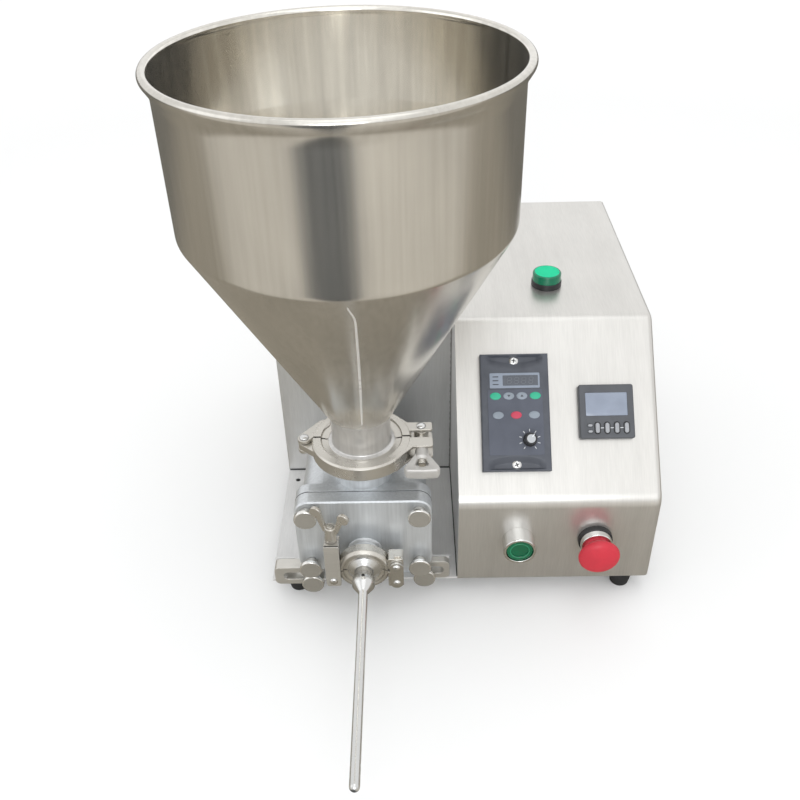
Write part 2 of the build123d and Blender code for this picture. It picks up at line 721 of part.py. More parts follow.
def controller_case():
    """Moulded case: face, sunk slanted ends for the screws, and the body behind the panel."""
    bezel = plate(CTRL_WIDTH, CTRL_HEIGHT, CTRL_CORNER, 0, CTRL_RISE)
    bezel = chamfer(bezel.edges().group_by(Axis.Z)[-1], EDGE_BREAK)
    half = CTRL_HEIGHT / 2
    seat = CTRL_RISE - CTRL_END_SINK
    for end in (-1, 1):
        ramp = Polyline(
            (end * (half - CTRL_END), CTRL_RISE + OVERCUT),
            (end * (half - CTRL_END), CTRL_RISE),
            (end * (half - CTRL_END + CTRL_END_SINK / 2), seat),
            (end * (half - CTRL_CORNER), seat),
            (end * (half - CTRL_CORNER), CTRL_RISE + OVERCUT),
            close=True,
        )
        width = CTRL_WIDTH - 2 * CTRL_RIM
        bezel -= Pos(-width / 2, 0, 0) * extrude(Plane.YZ * make_face(ramp), width)
    body_width = CTRL_WIDTH - 2 * CTRL_BODY_INSET
    body_height = CTRL_HEIGHT - 2 * CTRL_BODY_INSET
    bezel += Pos(0, 0, -CTRL_BODY_DEPTH / 2) * Box(body_width, body_height, CTRL_BODY_DEPTH)
    bezel -= Pos(0, DISPLAY_V, CTRL_RISE) * Box(
        DISPLAY_WIDTH + 2 * FIT_GAP, DISPLAY_HEIGHT + 2 * FIT_GAP, 2 * DISPLAY_SINK
    )
    bezel -= Pos(KNOB_X, KNOB_V, 0) * rod(
        KNOB_SHAFT_RADIUS + SHAFT_GAP, CTRL_RISE - KNOB_SHAFT_DEPTH - RUN_GAP, CTRL_RISE
    )
    for end in (-1, 1):
        bezel -= Pos(0, end * CTRL_SCREW_V, 0) * rod(SCREW_RADIUS + SHAFT_GAP, -SHEET, CTRL_RISE)
    return CONTROLLER * bezel


def controller_display():
    """Display frame and window set into the face."""
    low = CTRL_RISE - DISPLAY_SINK
    frame = plate(DISPLAY_WIDTH, DISPLAY_HEIGHT, EDGE_BREAK, low, CTRL_RISE + OVERLAY)
    return CONTROLLER * Pos(0, DISPLAY_V, 0) * frame


def controller_keypad():
    """Film overlay with seven raised oval keys, cut out for the knob."""
    height = OVERLAY_TOP - OVERLAY_BOTTOM
    middle = (OVERLAY_TOP + OVERLAY_BOTTOM) / 2
    sheet = Pos(0, middle, CTRL_RISE) * extrude(Rectangle(OVERLAY_WIDTH, height), OVERLAY)
    rows = [(x, KEY_ROW_1_V) for x in KEY_ROW_1_X] + [(x, KEY_ROW_2_V) for x in KEY_ROW_2_X]
    for x, v in rows:
        dome = extrude(Ellipse(KEY_LENGTH / 2, KEY_WIDTH / 2), KEY_RISE)
        sheet += Pos(x, v, CTRL_RISE + OVERLAY) * dome
    hole = KNOB_SHAFT_RADIUS + RUN_GAP
    sheet -= Pos(KNOB_X, KNOB_V, CTRL_RISE) * rod(hole, -OVERLAY, 2 * OVERLAY)
    return CONTROLLER * sheet


def speed_knob():
    """Pointer knob with a flat grip crown and its shaft."""
    low = CTRL_RISE + OVERLAY + RUN_GAP
    knob = turned(
        (0, CTRL_RISE - KNOB_SHAFT_DEPTH),
        (KNOB_SHAFT_RADIUS, CTRL_RISE - KNOB_SHAFT_DEPTH),
        (KNOB_SHAFT_RADIUS, low),
        (KNOB_RADIUS, low),
        (KNOB_RADIUS - KNOB_TAPER, low + KNOB_HEIGHT - EDGE_BREAK),
        (KNOB_RADIUS - KNOB_TAPER - EDGE_BREAK, low + KNOB_HEIGHT),
        (0, low + KNOB_HEIGHT),
    )
    notch = Pos(0, KNOB_RADIUS - KNOB_POINTER / 2, low + KNOB_HEIGHT) * Box(
        KNOB_POINTER_WIDTH, KNOB_POINTER, EDGE_BREAK
    )
    return CONTROLLER * Pos(KNOB_X, KNOB_V, 0) * Rot(0, 0, KNOB_REST_ANGLE) * (knob - notch)


# Timer

def pill(length, width, low, high):
    """Upright bar with round ends, its length along Y."""
    return Pos(0, 0, low) * extrude(Rot(0, 0, 90) * SlotOverall(length, width), high - low)


def timer_case():
    """Square timer with pockets for its screen, rockers and keys."""
    case = plate(TIMER_SIZE, TIMER_SIZE, TIMER_CORNER, 0, TIMER_RISE)
    case = chamfer(case.edges().group_by(Axis.Z)[-1], EDGE_BREAK)
    case += Pos(0, 0, -TIMER_BODY_DEPTH / 2) * Box(TIMER_BODY, TIMER_BODY, TIMER_BODY_DEPTH)
    case -= Pos(0, SCREEN_V, TIMER_RISE) * Box(
        SCREEN_WIDTH + 2 * FIT_GAP, SCREEN_HEIGHT + 2 * FIT_GAP, 2 * SCREEN_SINK
    )
    floor = TIMER_RISE - ROCKER_SINK - POCKET_FLOOR
    for x in ROCKER_X:
        case -= Pos(x, ROCKER_V, 0) * pill(
            ROCKER_LENGTH + 2 * POCKET_GAP, ROCKER_WIDTH + 2 * POCKET_GAP, floor, TIMER_RISE
        )
    for v in SMALL_KEY_V:
        key = pill(SMALL_KEY_LENGTH + 2 * POCKET_GAP, SMALL_KEY_WIDTH + 2 * POCKET_GAP, floor, TIMER_RISE)
        case -= Pos(SMALL_KEY_X, v, 0) * Rot(0, 0, 90) * key
    return TIMER * case


def timer_screen():
    """Liquid crystal window."""
    low = TIMER_RISE - SCREEN_SINK
    pane = plate(SCREEN_WIDTH, SCREEN_HEIGHT, EDGE_BREAK, low, TIMER_RISE - FIT_GAP)
    return TIMER * Pos(0, SCREEN_V, 0) * pane


def timer_rocker(x):
    """One rocker: its upper half counts up, its lower half counts down."""
    bar = pill(ROCKER_LENGTH, ROCKER_WIDTH, TIMER_RISE - ROCKER_SINK, TIMER_RISE + ROCKER_RISE)
    bar = chamfer(bar.edges().group_by(Axis.Z)[-1], ROCKER_EDGE)
    return TIMER * Pos(x, ROCKER_V, 0) * bar


def timer_small_key(v):
    """Small oval key at the left of the rockers."""
    low = TIMER_RISE - ROCKER_SINK + RUN_GAP
    key = pill(SMALL_KEY_LENGTH, SMALL_KEY_WIDTH, low, TIMER_RISE + SMALL_KEY_TRAVEL)
    return TIMER * Pos(SMALL_KEY_X, v, 0) * Rot(0, 0, 90) * key


# Drive

def gear_motor():
    """Motor: flanged drum behind the gearbox."""
    front = GEARBOX_FRONT + GEARBOX_LENGTH
    motor = rod(MOTOR_RADIUS, -MOTOR_LENGTH, -MOTOR_FLANGE)
    motor = fillet(motor.edges().group_by(Axis.Z)[0], MOTOR_FLANGE)
    motor += plate(GEARBOX_SIZE, GEARBOX_SIZE, MOTOR_FLANGE, -MOTOR_FLANGE, 0)
    return facing_front(DRIVE_X, front, COVER_MID_Z + GEARBOX_OFFSET) * motor


def gearbox():
    """Square gear head with a round boss round its output shaft."""
    box = plate(GEARBOX_SIZE, GEARBOX_SIZE, MOTOR_FLANGE, -GEARBOX_LENGTH, 0)
    output = Pos(0, -GEARBOX_OFFSET, 0)
    boss = output * rod(BOSS_RADIUS, 0, BRACKET_SHEET)
    bore = output * rod(GEAR_SHAFT_RADIUS + SHAFT_GAP, -GEAR_SHAFT_SINK - RUN_GAP, BRACKET_SHEET)
    return facing_front(DRIVE_X, GEARBOX_FRONT, COVER_MID_Z + GEARBOX_OFFSET) * (box + boss - bore)


def motor_bracket():
    """Angle bracket on the base plate that carries the gearbox by its face."""
    half = GEARBOX_SIZE / 2 + BRACKET_MARGIN
    top = COVER_MID_Z + GEARBOX_OFFSET + half
    front = GEARBOX_FRONT - BRACKET_SHEET
    bracket = block((DRIVE_X - half, DRIVE_X + half), (front, GEARBOX_FRONT), (BASE_SHEET, top))
    bracket += block(
        (DRIVE_X - half, DRIVE_X + half),
        (front, front + BRACKET_FOOT),
        (BASE_SHEET, BASE_SHEET + BRACKET_SHEET),
    )
    hole = rod(BOSS_RADIUS + FIT_GAP, -GEARBOX_FRONT, BRACKET_SHEET - GEARBOX_FRONT)
    return bracket - DRIVE * hole


def gearbox_shaft():
    """Output shaft of the gearbox, up to the middle of the coupling."""
    return DRIVE * rod(GEAR_SHAFT_RADIUS, -GEARBOX_FRONT - GEAR_SHAFT_SINK, -COUPLING_MID - RUN_GAP)


def drive_coupling():
    """Rigid sleeve coupling with a waist, bored for both shafts."""
    sleeve = turned(
        (SHAFT_RADIUS, -COUPLING_FRONT),
        (COUPLING_RADIUS, -COUPLING_FRONT),
        (COUPLING_RADIUS, COUPLING_GAP / 2 - COUPLING_MID),
        (COUPLING_RADIUS - COUPLING_GROOVE, COUPLING_GAP / 2 - COUPLING_MID),
        (COUPLING_RADIUS - COUPLING_GROOVE, -COUPLING_GAP / 2 - COUPLING_MID),
        (COUPLING_RADIUS, -COUPLING_GAP / 2 - COUPLING_MID),
        (COUPLING_RADIUS, -COUPLING_BACK),
        (GEAR_SHAFT_RADIUS, -COUPLING_BACK),
        (GEAR_SHAFT_RADIUS, -COUPLING_MID),
        (SHAFT_RADIUS, -COUPLING_MID),
    )
    return DRIVE * sleeve


def drive_shaft():
    """Pump shaft from the cover's blind bore, through rotor and bushes, to the coupling."""
    return DRIVE * rod(SHAFT_RADIUS, -COUPLING_MID, JOURNAL_FRONT - COVER_BACK)


# Pump

def lobe_curves(turn):
    """Cycloid flanks of one tooth and the gap after it, moved in by the lobe gap.

    A circle rolling outside the pitch circle draws the tooth, and inside it draws the gap. The
    normal at each point runs through the rolling circle's touching point.
    """
    span = math.pi / LOBES
    curves = []
    for sign in (1, -1):
        start = turn if sign > 0 else turn + span
        points = []
        for step in range(LOBE_POINTS):
            t = span * step / (LOBE_POINTS - 1)
            reach = PITCH_RADIUS + sign * LOBE_CIRCLE
            spin = reach / LOBE_CIRCLE * t
            x = reach * math.cos(t) - sign * LOBE_CIRCLE * math.cos(spin)
            y = reach * math.sin(t) - LOBE_CIRCLE * math.sin(spin)
            half = math.pi * step / (LOBE_POINTS - 1)
            inward = t + math.pi / 2 + sign * half
            side = 1 if sign > 0 else -1
            x += side * LOBE_GAP * math.cos(inward)
            y += side * LOBE_GAP * math.sin(inward)
            points.append(Vector(x, y).rotate(Axis.Z, math.degrees(start)))
        curves.append(points)
    return curves


def rotor_outline(phase):
    """Closed rotor face: a tooth and a gap for each lobe, starting at an angle in radians."""
    edges = []
    last = None
    first = None
    for lobe in range(LOBES):
        for points in lobe_curves(phase + 2 * math.pi * lobe / LOBES):
            if last is None:
                first = points[0]
            else:
                points[0] = last
            if lobe == LOBES - 1 and len(edges) == 2 * LOBES - 1:
                points[-1] = first
            edges.append(Spline(*points))
            last = points[-1]
    return make_face(edges)


def rotor(phase):
    """Rotor block between the pump's end faces, along the front direction."""
    length = CHAMBER_DEPTH - 2 * END_GAP
    return Pos(0, 0, END_GAP - CHAMBER_BACK) * extrude(rotor_outline(phase), length)


def drive_rotor():
    """Driven rotor on the pump shaft, a tooth towards the other rotor."""
    tooth = -math.pi / (2 * LOBES)
    bore = rod(SHAFT_RADIUS, -CHAMBER_BACK, -COVER_BACK)
    return DRIVE * (rotor(tooth) - bore)


def idler_rotor():
    """Following rotor in one piece with its journals, a gap towards the driven rotor."""
    gap = math.pi - 3 * math.pi / (2 * LOBES)
    front = rod(SHAFT_RADIUS, -COVER_BACK - END_GAP, JOURNAL_FRONT - COVER_BACK)
    back = rod(SHAFT_RADIUS, -CHAMBER_BACK - JOURNAL_REAR, END_GAP - CHAMBER_BACK)
    return IDLER * (rotor(gap) + front + back)


def shaft_bushes():
    """Bearing bushes: two on the pump shaft and one on the follower's rear journal."""
    hole = SHAFT_RADIUS + SHAFT_GAP
    neck_end = RECESS_DEPTH - RUN_GAP
    front = rod(BUSH_RADIUS, -CHAMBER_BACK - FRONT_BUSH, -CHAMBER_BACK) - rod(hole, -RECESS_DEPTH, 0)
    back = rod(BUSH_RADIUS, -neck_end, REAR_BUSH - neck_end) - rod(hole, -RECESS_DEPTH, 0)
    idler = rod(BUSH_RADIUS, -CHAMBER_BACK - JOURNAL_REAR, -CHAMBER_BACK) - rod(hole, -RECESS_DEPTH, 0)
    return together([DRIVE * front, DRIVE * back, IDLER * idler])


def ferrule(tube, rim):
    """Clamp ferrule about Z: its face at zero, the tube going down, not yet bored."""
    drop = (rim - tube) * math.tan(math.radians(FERRULE_TAPER))
    low = -FERRULE_RIM - drop
    return turned((0, 0), (rim, 0), (rim, -FERRULE_RIM), (tube, low), (0, low))


def pump_body():
    """Machined pump body: flange, rounded block, bearing neck, foot and inlet ferrule."""
    body = PUMP * plate(COVER_WIDTH, COVER_HEIGHT, COVER_CORNER, -FLANGE_BACK, -FLANGE_FRONT)
    body += PUMP * plate(BODY_WIDTH, BODY_HEIGHT, BODY_CORNER, -BODY_REAR, -FLANGE_BACK)
    body += DRIVE * rod(NECK_RADIUS, RUN_GAP - RECESS_DEPTH, -BODY_REAR)
    half = PUMP_FOOT_WIDTH / 2
    body += block(
        (PUMP_X - half, PUMP_X + half),
        (FLANGE_FRONT, BODY_REAR),
        (BASE_SHEET, COVER_BOTTOM + BODY_CORNER),
    )
    body -= block(
        (PUMP_X - COVER_WIDTH, PUMP_X + COVER_WIDTH),
        (COVER_FRONT, PUMP_FOOT_FRONT),
        (0, COVER_BOTTOM),
    )
    seat = -CLAMP_GASKET / 2
    body += HOPPER * Pos(0, 0, seat) * ferrule(INLET_TUBE, INLET_FERRULE)
    roof = COVER_MID_Z + BODY_HEIGHT / 2 - HOPPER_SEAT_Z
    body += HOPPER * rod(INLET_TUBE, roof - BODY_CORNER / 2, seat - FERRULE_RIM)
    body -= HOPPER * rod(INLET_TUBE - TUBE_WALL, roof, 0)
    body -= HOPPER * rod(INLET_DUCT_RADIUS, COVER_MID_Z - HOPPER_SEAT_Z, 0)
    for place in (DRIVE, IDLER):
        body -= place * rod(CHAMBER_RADIUS, -CHAMBER_BACK, 0)
    body -= OUTLET * rod(OUTLET_DUCT_RADIUS, CLAMP_Y - CHAMBER_BACK, 0)
    body -= DRIVE * rod(BUSH_RADIUS, -CHAMBER_BACK - FRONT_BUSH, -CHAMBER_BACK)
    body -= DRIVE * rod(SHAFT_RADIUS + RUN_GAP, -RECESS_DEPTH, -CHAMBER_BACK)
    body -= DRIVE * rod(BUSH_RADIUS, -RECESS_DEPTH, REAR_BUSH - RECESS_DEPTH + RUN_GAP)
    body -= IDLER * rod(BUSH_RADIUS, -CHAMBER_BACK - JOURNAL_REAR - RUN_GAP, -CHAMBER_BACK)
    for x, z in STUDS:
        body -= facing_front(x, 0, z) * rod(STUD_RADIUS, -FLANGE_BACK, 0)
    for x in (HOLD_LEFT_SCREW, HOLD_RIGHT_SCREW):
        hole_end = -PUMP_FOOT_FRONT - HOLD_SCREW_REACH - RUN_GAP
        body -= facing_front(x, 0, HOLD_Z) * rod(STUD_RADIUS + SHAFT_GAP, hole_end, 0)
    return body


def pump_cover():
    """Front cover with the outlet tube and ferrule, blind journal bores and stud holes."""
    cover = plate(COVER_WIDTH, COVER_HEIGHT, COVER_CORNER, -COVER_BACK, -COVER_FRONT)
    cover = PUMP * chamfer(cover.edges().group_by(Axis.Z)[-1], COVER_BEVEL)
    seat = -CLAMP_GASKET / 2
    cover += OUTLET * Pos(0, 0, seat) * ferrule(OUTLET_TUBE, OUTLET_FERRULE)
    cover += OUTLET * rod(OUTLET_TUBE, -OUTLET_SEAT, seat - FERRULE_RIM)
    cover -= OUTLET * rod(OUTLET_TUBE - TUBE_WALL, -OUTLET_SEAT, 0)
    cover -= OUTLET * rod(OUTLET_DUCT_RADIUS, -OUTLET_SEAT - COVER_THICK - OVERCUT, 0)
    for place in (DRIVE, IDLER):
        blind = JOURNAL_FRONT + RUN_GAP - COVER_BACK
        cover -= place * rod(SHAFT_RADIUS + SHAFT_GAP, -COVER_BACK - OVERCUT, blind)
    for x, z in STUDS:
        hole = rod(STUD_RADIUS + RUN_GAP, -OVERCUT, COVER_THICK + OVERCUT)
        cover -= facing_front(x, COVER_BACK, z) * hole
    return cover


def seals():
    """Cover gasket and the two clamp gaskets."""
    gasket = plate(COVER_WIDTH, COVER_HEIGHT, COVER_CORNER, -FLANGE_FRONT, -COVER_BACK)
    land = CHAMBER_RADIUS + STUD_RADIUS / 2
    half_width = PITCH_RADIUS + land
    low = OUTLET_Z - COVER_MID_Z - OUTLET_DUCT_RADIUS - STUD_RADIUS / 2
    window = Pos(0, (land + low) / 2) * RectangleRounded(2 * half_width, land - low, INLET_DUCT_RADIUS)
    gasket -= Pos(0, 0, -FLANGE_FRONT) * extrude(window, GASKET)
    for x, z in STUDS:
        hole = rod(STUD_RADIUS + RUN_GAP, -FLANGE_FRONT, -COVER_BACK)
        gasket -= Pos(x - PUMP_X, z - COVER_MID_Z, 0) * hole
    rings = [PUMP * gasket]
    half = CLAMP_GASKET / 2
    for place, tube, rim in ((HOPPER, INLET_TUBE, INLET_FERRULE), (OUTLET, OUTLET_TUBE, OUTLET_FERRULE)):
        ring = rod(rim - CLAMP_GAP, -half, half) - rod(tube - TUBE_WALL, -half, half)
        rings.append(place * ring)
    return together(rings)


def cover_studs():
    """Four studs in the flange that carry the cover and its knobs."""
    front = DISC_STEP - KNOB_BORE_END - COVER_FRONT - RUN_GAP
    stud = rod(STUD_RADIUS, -FLANGE_BACK, front)
    return together([facing_front(x, 0, z) * stud for x, z in STUDS])


def disc_head():
    """Disc-shaped grip on a short neck, from zero up."""
    disc = turned(
        (0, 0),
        (DISC_NECK_RADIUS, 0),
        (DISC_NECK_RADIUS, DISC_NECK),
        (DISC_RADIUS - DISC_EDGE, DISC_NECK),
        (DISC_RADIUS, DISC_NECK + DISC_EDGE),
        (DISC_RADIUS, DISC_STEP - DISC_EDGE),
        (DISC_RADIUS - DISC_EDGE, DISC_STEP),
        (0, DISC_STEP),
    )
    return disc


def cover_knob(x, z):
    """Disc knob screwed on one cover stud."""
    bore = rod(STUD_RADIUS + SHAFT_GAP, 0, DISC_STEP - KNOB_BORE_END)
    return facing_front(x, COVER_FRONT - FIT_GAP, z) * (disc_head() - bore)


def hold_down(outer, inner, slot_end, thick):
    """Slotted plate between a base post and the pump's foot; the slot is open at its inner end."""
    low = HOLD_BOTTOM
    high = HOLD_BOTTOM + HOLD_HEIGHT
    front = PUMP_FOOT_FRONT - FIT_GAP - thick
    bar = block((min(outer, inner), max(outer, inner)), (front, front + thick), (low, high))
    ends = [edge for edge in bar.edges().filter_by(Axis.Y) if abs(edge.center().X - outer) < HOLD_CORNER]
    bar = fillet(ends, HOLD_CORNER)
    slot = STUD_RADIUS + RUN_GAP
    reach = inner + math.copysign(slot, inner - outer)
    bar -= block(
        (min(slot_end, reach), max(slot_end, reach)),
        (front - OVERCUT, front + thick + OVERCUT),
        (HOLD_Z - slot, HOLD_Z + slot),
    )
    bar -= facing_front(slot_end, front, HOLD_Z) * rod(slot, -thick - OVERCUT, OVERCUT)
    return bar


def hold_down_screw(x, thick):
    """Disc-headed hand screw through a hold-down slot into the pump's foot."""
    front = PUMP_FOOT_FRONT - FIT_GAP - thick - FIT_GAP
    shank = rod(STUD_RADIUS, front - PUMP_FOOT_FRONT - HOLD_SCREW_REACH, 0)
    return facing_front(x, front, HOLD_Z) * (disc_head() + shank)


# Hopper and its clamp

def hopper():
    """Spun hopper: ferrule and neck tube, cone, straight wall, flared top and rolled rim."""
    base = CLAMP_GASKET / 2
    lean = HOPPER_WALL / math.cos(math.atan((HOPPER_RADIUS - INLET_TUBE) / (HOPPER_CONE_TOP - NECK_TOP)))
    neck = NECK_TOP - HOPPER_SEAT_Z
    cone = HOPPER_CONE_TOP - HOPPER_SEAT_Z
    flare = HOPPER_FLARE_Z - HOPPER_SEAT_Z
    top = HOPPER_TOP - HOPPER_SEAT_Z
    drop = (INLET_FERRULE - INLET_TUBE) * math.tan(math.radians(FERRULE_TAPER))
    bore = INLET_TUBE - TUBE_WALL
    wall = turned(
        (bore, base),
        (INLET_FERRULE, base),
        (INLET_FERRULE, base + FERRULE_RIM),
        (INLET_TUBE, base + FERRULE_RIM + drop),
        (INLET_TUBE, neck),
        (HOPPER_RADIUS, cone),
        (HOPPER_RADIUS, flare),
        (RIM_RADIUS, top - RIM_BEAD),
        (RIM_RADIUS - lean, top - RIM_BEAD),
        (HOPPER_RADIUS - lean, flare),
        (HOPPER_RADIUS - lean, cone),
        (bore, neck),
    )
    bead = Pos(0, 0, top - RIM_BEAD) * Torus(RIM_RADIUS, RIM_BEAD)
    return HOPPER * (wall + bead)


def clamp_ring(outer, lip, rim, half):
    """Grooved clamp ring about Z that closes over two ferrules."""
    face = CLAMP_GASKET / 2 + FERRULE_RIM + CLAMP_GAP
    mouth = face + (rim + CLAMP_GAP - lip) * math.tan(math.radians(FERRULE_TAPER))
    return turned(
        (lip, half),
        (outer - CLAMP_CHAMFER, half),
        (outer, half - CLAMP_CHAMFER),
        (outer, CLAMP_CHAMFER - half),
        (outer - CLAMP_CHAMFER, -half),
        (lip, -half),
        (lip, -mouth),
        (rim + CLAMP_GAP, -face),
        (rim + CLAMP_GAP, face),
        (lip, mouth),
    )


def ring_half(outer, lip, rim, half, side):
    """The half of a clamp ring on one side of its split, side being 1 or -1 along Y."""
    middle = outer + CLAMP_SPLIT
    keep = Pos(0, side * middle, 0) * Box(3 * outer, 2 * outer, 4 * half)
    return clamp_ring(outer, lip, rim, half) & keep


def hinge_hole():
    """Upright hole for a pin of the hopper clamp, right through it."""
    return rod(HINGE_PIN_RADIUS + PIN_GAP, -2 * H_CLAMP_HALF, 2 * H_CLAMP_HALF)


def hopper_clamp_rear():
    """Rear clamp half: hinge fork at the left, forked ear for the swing bolt at the right."""
    half = ring_half(H_CLAMP_OUTER, H_CLAMP_LIP, INLET_FERRULE, H_CLAMP_HALF, 1)
    run = HINGE_X - HINGE_ARM_X
    bar = extrude(SlotCenterToCenter(math.hypot(run, HINGE_ARM_Y), 2 * HINGE_EYE), H_CLAMP_HALF, both=True)
    lean = math.degrees(math.atan2(HINGE_ARM_Y, run))
    arm = Pos(-(HINGE_X + HINGE_ARM_X) / 2, HINGE_ARM_Y / 2, 0) * Rot(0, 0, lean) * bar
    arm = arm & block((-2 * HINGE_X, 0), (CLAMP_SPLIT, 2 * HINGE_X), (-H_CLAMP_HALF, H_CLAMP_HALF))
    arm += Pos(-HINGE_X, 0, 0) * rod(HINGE_EYE, -H_CLAMP_HALF, H_CLAMP_HALF)
    gap = HINGE_TONGUE + RUN_GAP
    arm -= Pos(-HINGE_X, 0, 0) * rod(HINGE_EYE + RUN_GAP, -gap, gap)
    arm -= block((-2 * HINGE_X, -H_CLAMP_OUTER), (-HINGE_EYE, 3 * HINGE_EYE), (-gap, gap))
    arm -= Pos(-HINGE_X, 0, 0) * hinge_hole()
    ear = block((EAR_START, EAR_END), (EAR_REAR_FRONT, EAR_REAR_BACK), (-H_CLAMP_HALF, H_CLAMP_HALF))
    ear -= block(
        (BOLT_X - BOLT_EYE - RUN_GAP, 2 * EAR_END),
        (0, 2 * EAR_REAR_BACK),
        (-BOLT_SLOT_HALF, BOLT_SLOT_HALF),
    )
    ear -= Pos(BOLT_X, BOLT_PIVOT_Y, 0) * hinge_hole()
    return HOPPER * (half + arm + ear)


def hopper_clamp_front():
    """Front clamp half: hinge tongue at the left, open-slotted ear with a round seat at the right."""
    half = ring_half(H_CLAMP_OUTER, H_CLAMP_LIP, INLET_FERRULE, H_CLAMP_HALF, -1)
    tongue = block((-HINGE_X, -EAR_START), (-2 * HINGE_EYE, -CLAMP_SPLIT), (-HINGE_TONGUE, HINGE_TONGUE))
    tongue += Pos(-HINGE_X, 0, 0) * rod(HINGE_EYE, -HINGE_TONGUE, HINGE_TONGUE)
    tongue -= Pos(-HINGE_X, 0, 0) * hinge_hole()
    ear = block((EAR_START, EAR_END), (EAR_FRONT, EAR_FRONT_BACK), (-H_CLAMP_HALF, H_CLAMP_HALF))
    ear = ear & (Pos(BOLT_X, BOLT_PIVOT_Y, 0) * rod(SEAT_ARC, -2 * H_CLAMP_HALF, 2 * H_CLAMP_HALF))
    ear -= block(
        (BOLT_X - BOLT_RADIUS - BOLT_SLOT_PLAY, 2 * EAR_END),
        (2 * EAR_FRONT, 0),
        (-BOLT_SLOT_HALF, BOLT_SLOT_HALF),
    )
    return HOPPER * (half + tongue + ear)


def hopper_swing_bolt():
    """Eye bolt that swings out of the front ear about its upright pin."""
    eye = rod(BOLT_EYE, -BOLT_EYE_HALF, BOLT_EYE_HALF)
    shank = Rot(90, 0, 0) * rod(BOLT_RADIUS, BOLT_EYE / 2, BOLT_REACH)
    return HOPPER * Pos(BOLT_X, BOLT_PIVOT_Y, 0) * (eye + shank - hinge_hole())


def hopper_wing_nut():
    """Cast wing nut: a nosed hub that spreads into a flat fan with a window at the bolt's end."""
    hub = turned(
        (0, NUT_START),
        (H_NUT_HUB - H_NUT_EDGE, NUT_START),
        (H_NUT_HUB, NUT_START + H_NUT_EDGE),
        (H_NUT_HUB, NUT_START + H_NUT_HUB_LENGTH),
        (0, NUT_START + H_NUT_HUB_LENGTH),
    )
    low = NUT_START + H_NUT_HUB
    high = NUT_START + H_NUT_LENGTH
    hollow = NUT_START + H_NUT_HUB_LENGTH
    foot = H_NUT_HUB - H_NUT_EDGE
    spread = Polyline(
        (-foot, low),
        (foot, low),
        (H_NUT_SPAN, high - H_NUT_TIP),
        (H_NUT_SPAN - H_NUT_TIP_LEAN, high),
        (H_NUT_TIP_LEAN - H_NUT_SPAN, high),
        (-H_NUT_SPAN, high - H_NUT_TIP),
        close=True,
    )
    fan = Pos(0, H_NUT_THICK / 2, 0) * extrude(Plane.XZ * make_face(spread), H_NUT_THICK)
    nut = hub + fan - rod(BOLT_RADIUS + PIN_GAP, 0, hollow + H_NUT_WINDOW)
    window = Rot(90, 0, 0) * Cylinder(H_NUT_WINDOW, 4 * H_NUT_THICK)
    nut -= Pos(0, 0, hollow + H_NUT_WINDOW) * window
    return HOPPER * Pos(BOLT_X, BOLT_PIVOT_Y, 0) * Rot(90, 0, 0) * nut


# Outlet clamp and nozzle

def outlet_lug(x, y):
    """Lug outside the outlet clamp ring, between two values of X and of Y."""
    return block(x, y, (-O_CLAMP_HALF, O_CLAMP_HALF)) - rod(LUG_CLEAR, -2 * O_CLAMP_HALF, 2 * O_CLAMP_HALF)


def pin_hole(x, y, radius):
    """Hole for a clamp pin, right through a lug."""
    return Pos(x, y, 0) * rod(radius + PIN_GAP, -4 * O_CLAMP_HALF, 4 * O_CLAMP_HALF)


def outlet_clamp_upper():
    """Upper clamp half with its hinge lug, and the stud that takes latch and wing nut."""
    half = ring_half(O_CLAMP_OUTER, O_CLAMP_LIP, OUTLET_FERRULE, O_CLAMP_HALF, 1)
    half += outlet_lug((-LATCH_LUG_OUT, -LUG_IN), (LUG_SPLIT, LUG_TOP))
    half += outlet_lug((LUG_IN, LUG_OUT), (CLAMP_SPLIT, LINK_LUG_TOP))
    half -= pin_hole(LINK_X, LINK_UPPER, LATCH_PIN_RADIUS)
    stud = Pos(-STUD_X, 0, 0) * Rot(-90, 0, 0) * rod(O_STUD_RADIUS, LUG_TOP / 2, O_STUD_TOP)
    return OUTLET * (half + stud)


def outlet_clamp_lower():
    """Lower clamp half with its hinge lug and the latch's lug."""
    half = ring_half(O_CLAMP_OUTER, O_CLAMP_LIP, OUTLET_FERRULE, O_CLAMP_HALF, -1)
    half += outlet_lug((-LATCH_LUG_OUT, -LUG_IN), (-LUG_BOTTOM, -LUG_SPLIT))
    half += outlet_lug((LUG_IN, LUG_OUT), (LINK_LOWER - LINK_HALF, -LUG_SPLIT))
    half -= pin_hole(LINK_X, LINK_LOWER, LATCH_PIN_RADIUS)
    half -= pin_hole(-STUD_X, LATCH_PIN, LATCH_PIN_RADIUS)
    return OUTLET * half


def outlet_swing_latch():
    """Bent strap: pinned to the lower half, its forked top leg over the upper half's stud."""
    front = O_CLAMP_HALF + RUN_GAP
    side = (-STUD_X - LATCH_WIDTH / 2, LATCH_WIDTH / 2 - STUD_X)
    strap = block(side, (LATCH_PIN - LATCH_HEEL, LATCH_TOP), (front, front + LATCH_SHEET))
    strap += block(side, (LATCH_TOP - LATCH_SHEET, LATCH_TOP), (LATCH_BACK, front + LATCH_SHEET))
    fork = O_STUD_RADIUS + RUN_GAP
    strap -= block(
        (-STUD_X, LATCH_WIDTH - STUD_X), (LATCH_TOP - 2 * LATCH_SHEET, 2 * LATCH_TOP), (-fork, fork)
    )
    strap -= Pos(-STUD_X, 0, 0) * Rot(-90, 0, 0) * rod(fork, LATCH_TOP - 2 * LATCH_SHEET, 2 * LATCH_TOP)
    return OUTLET * (strap - pin_hole(-STUD_X, LATCH_PIN, LATCH_PIN_RADIUS))


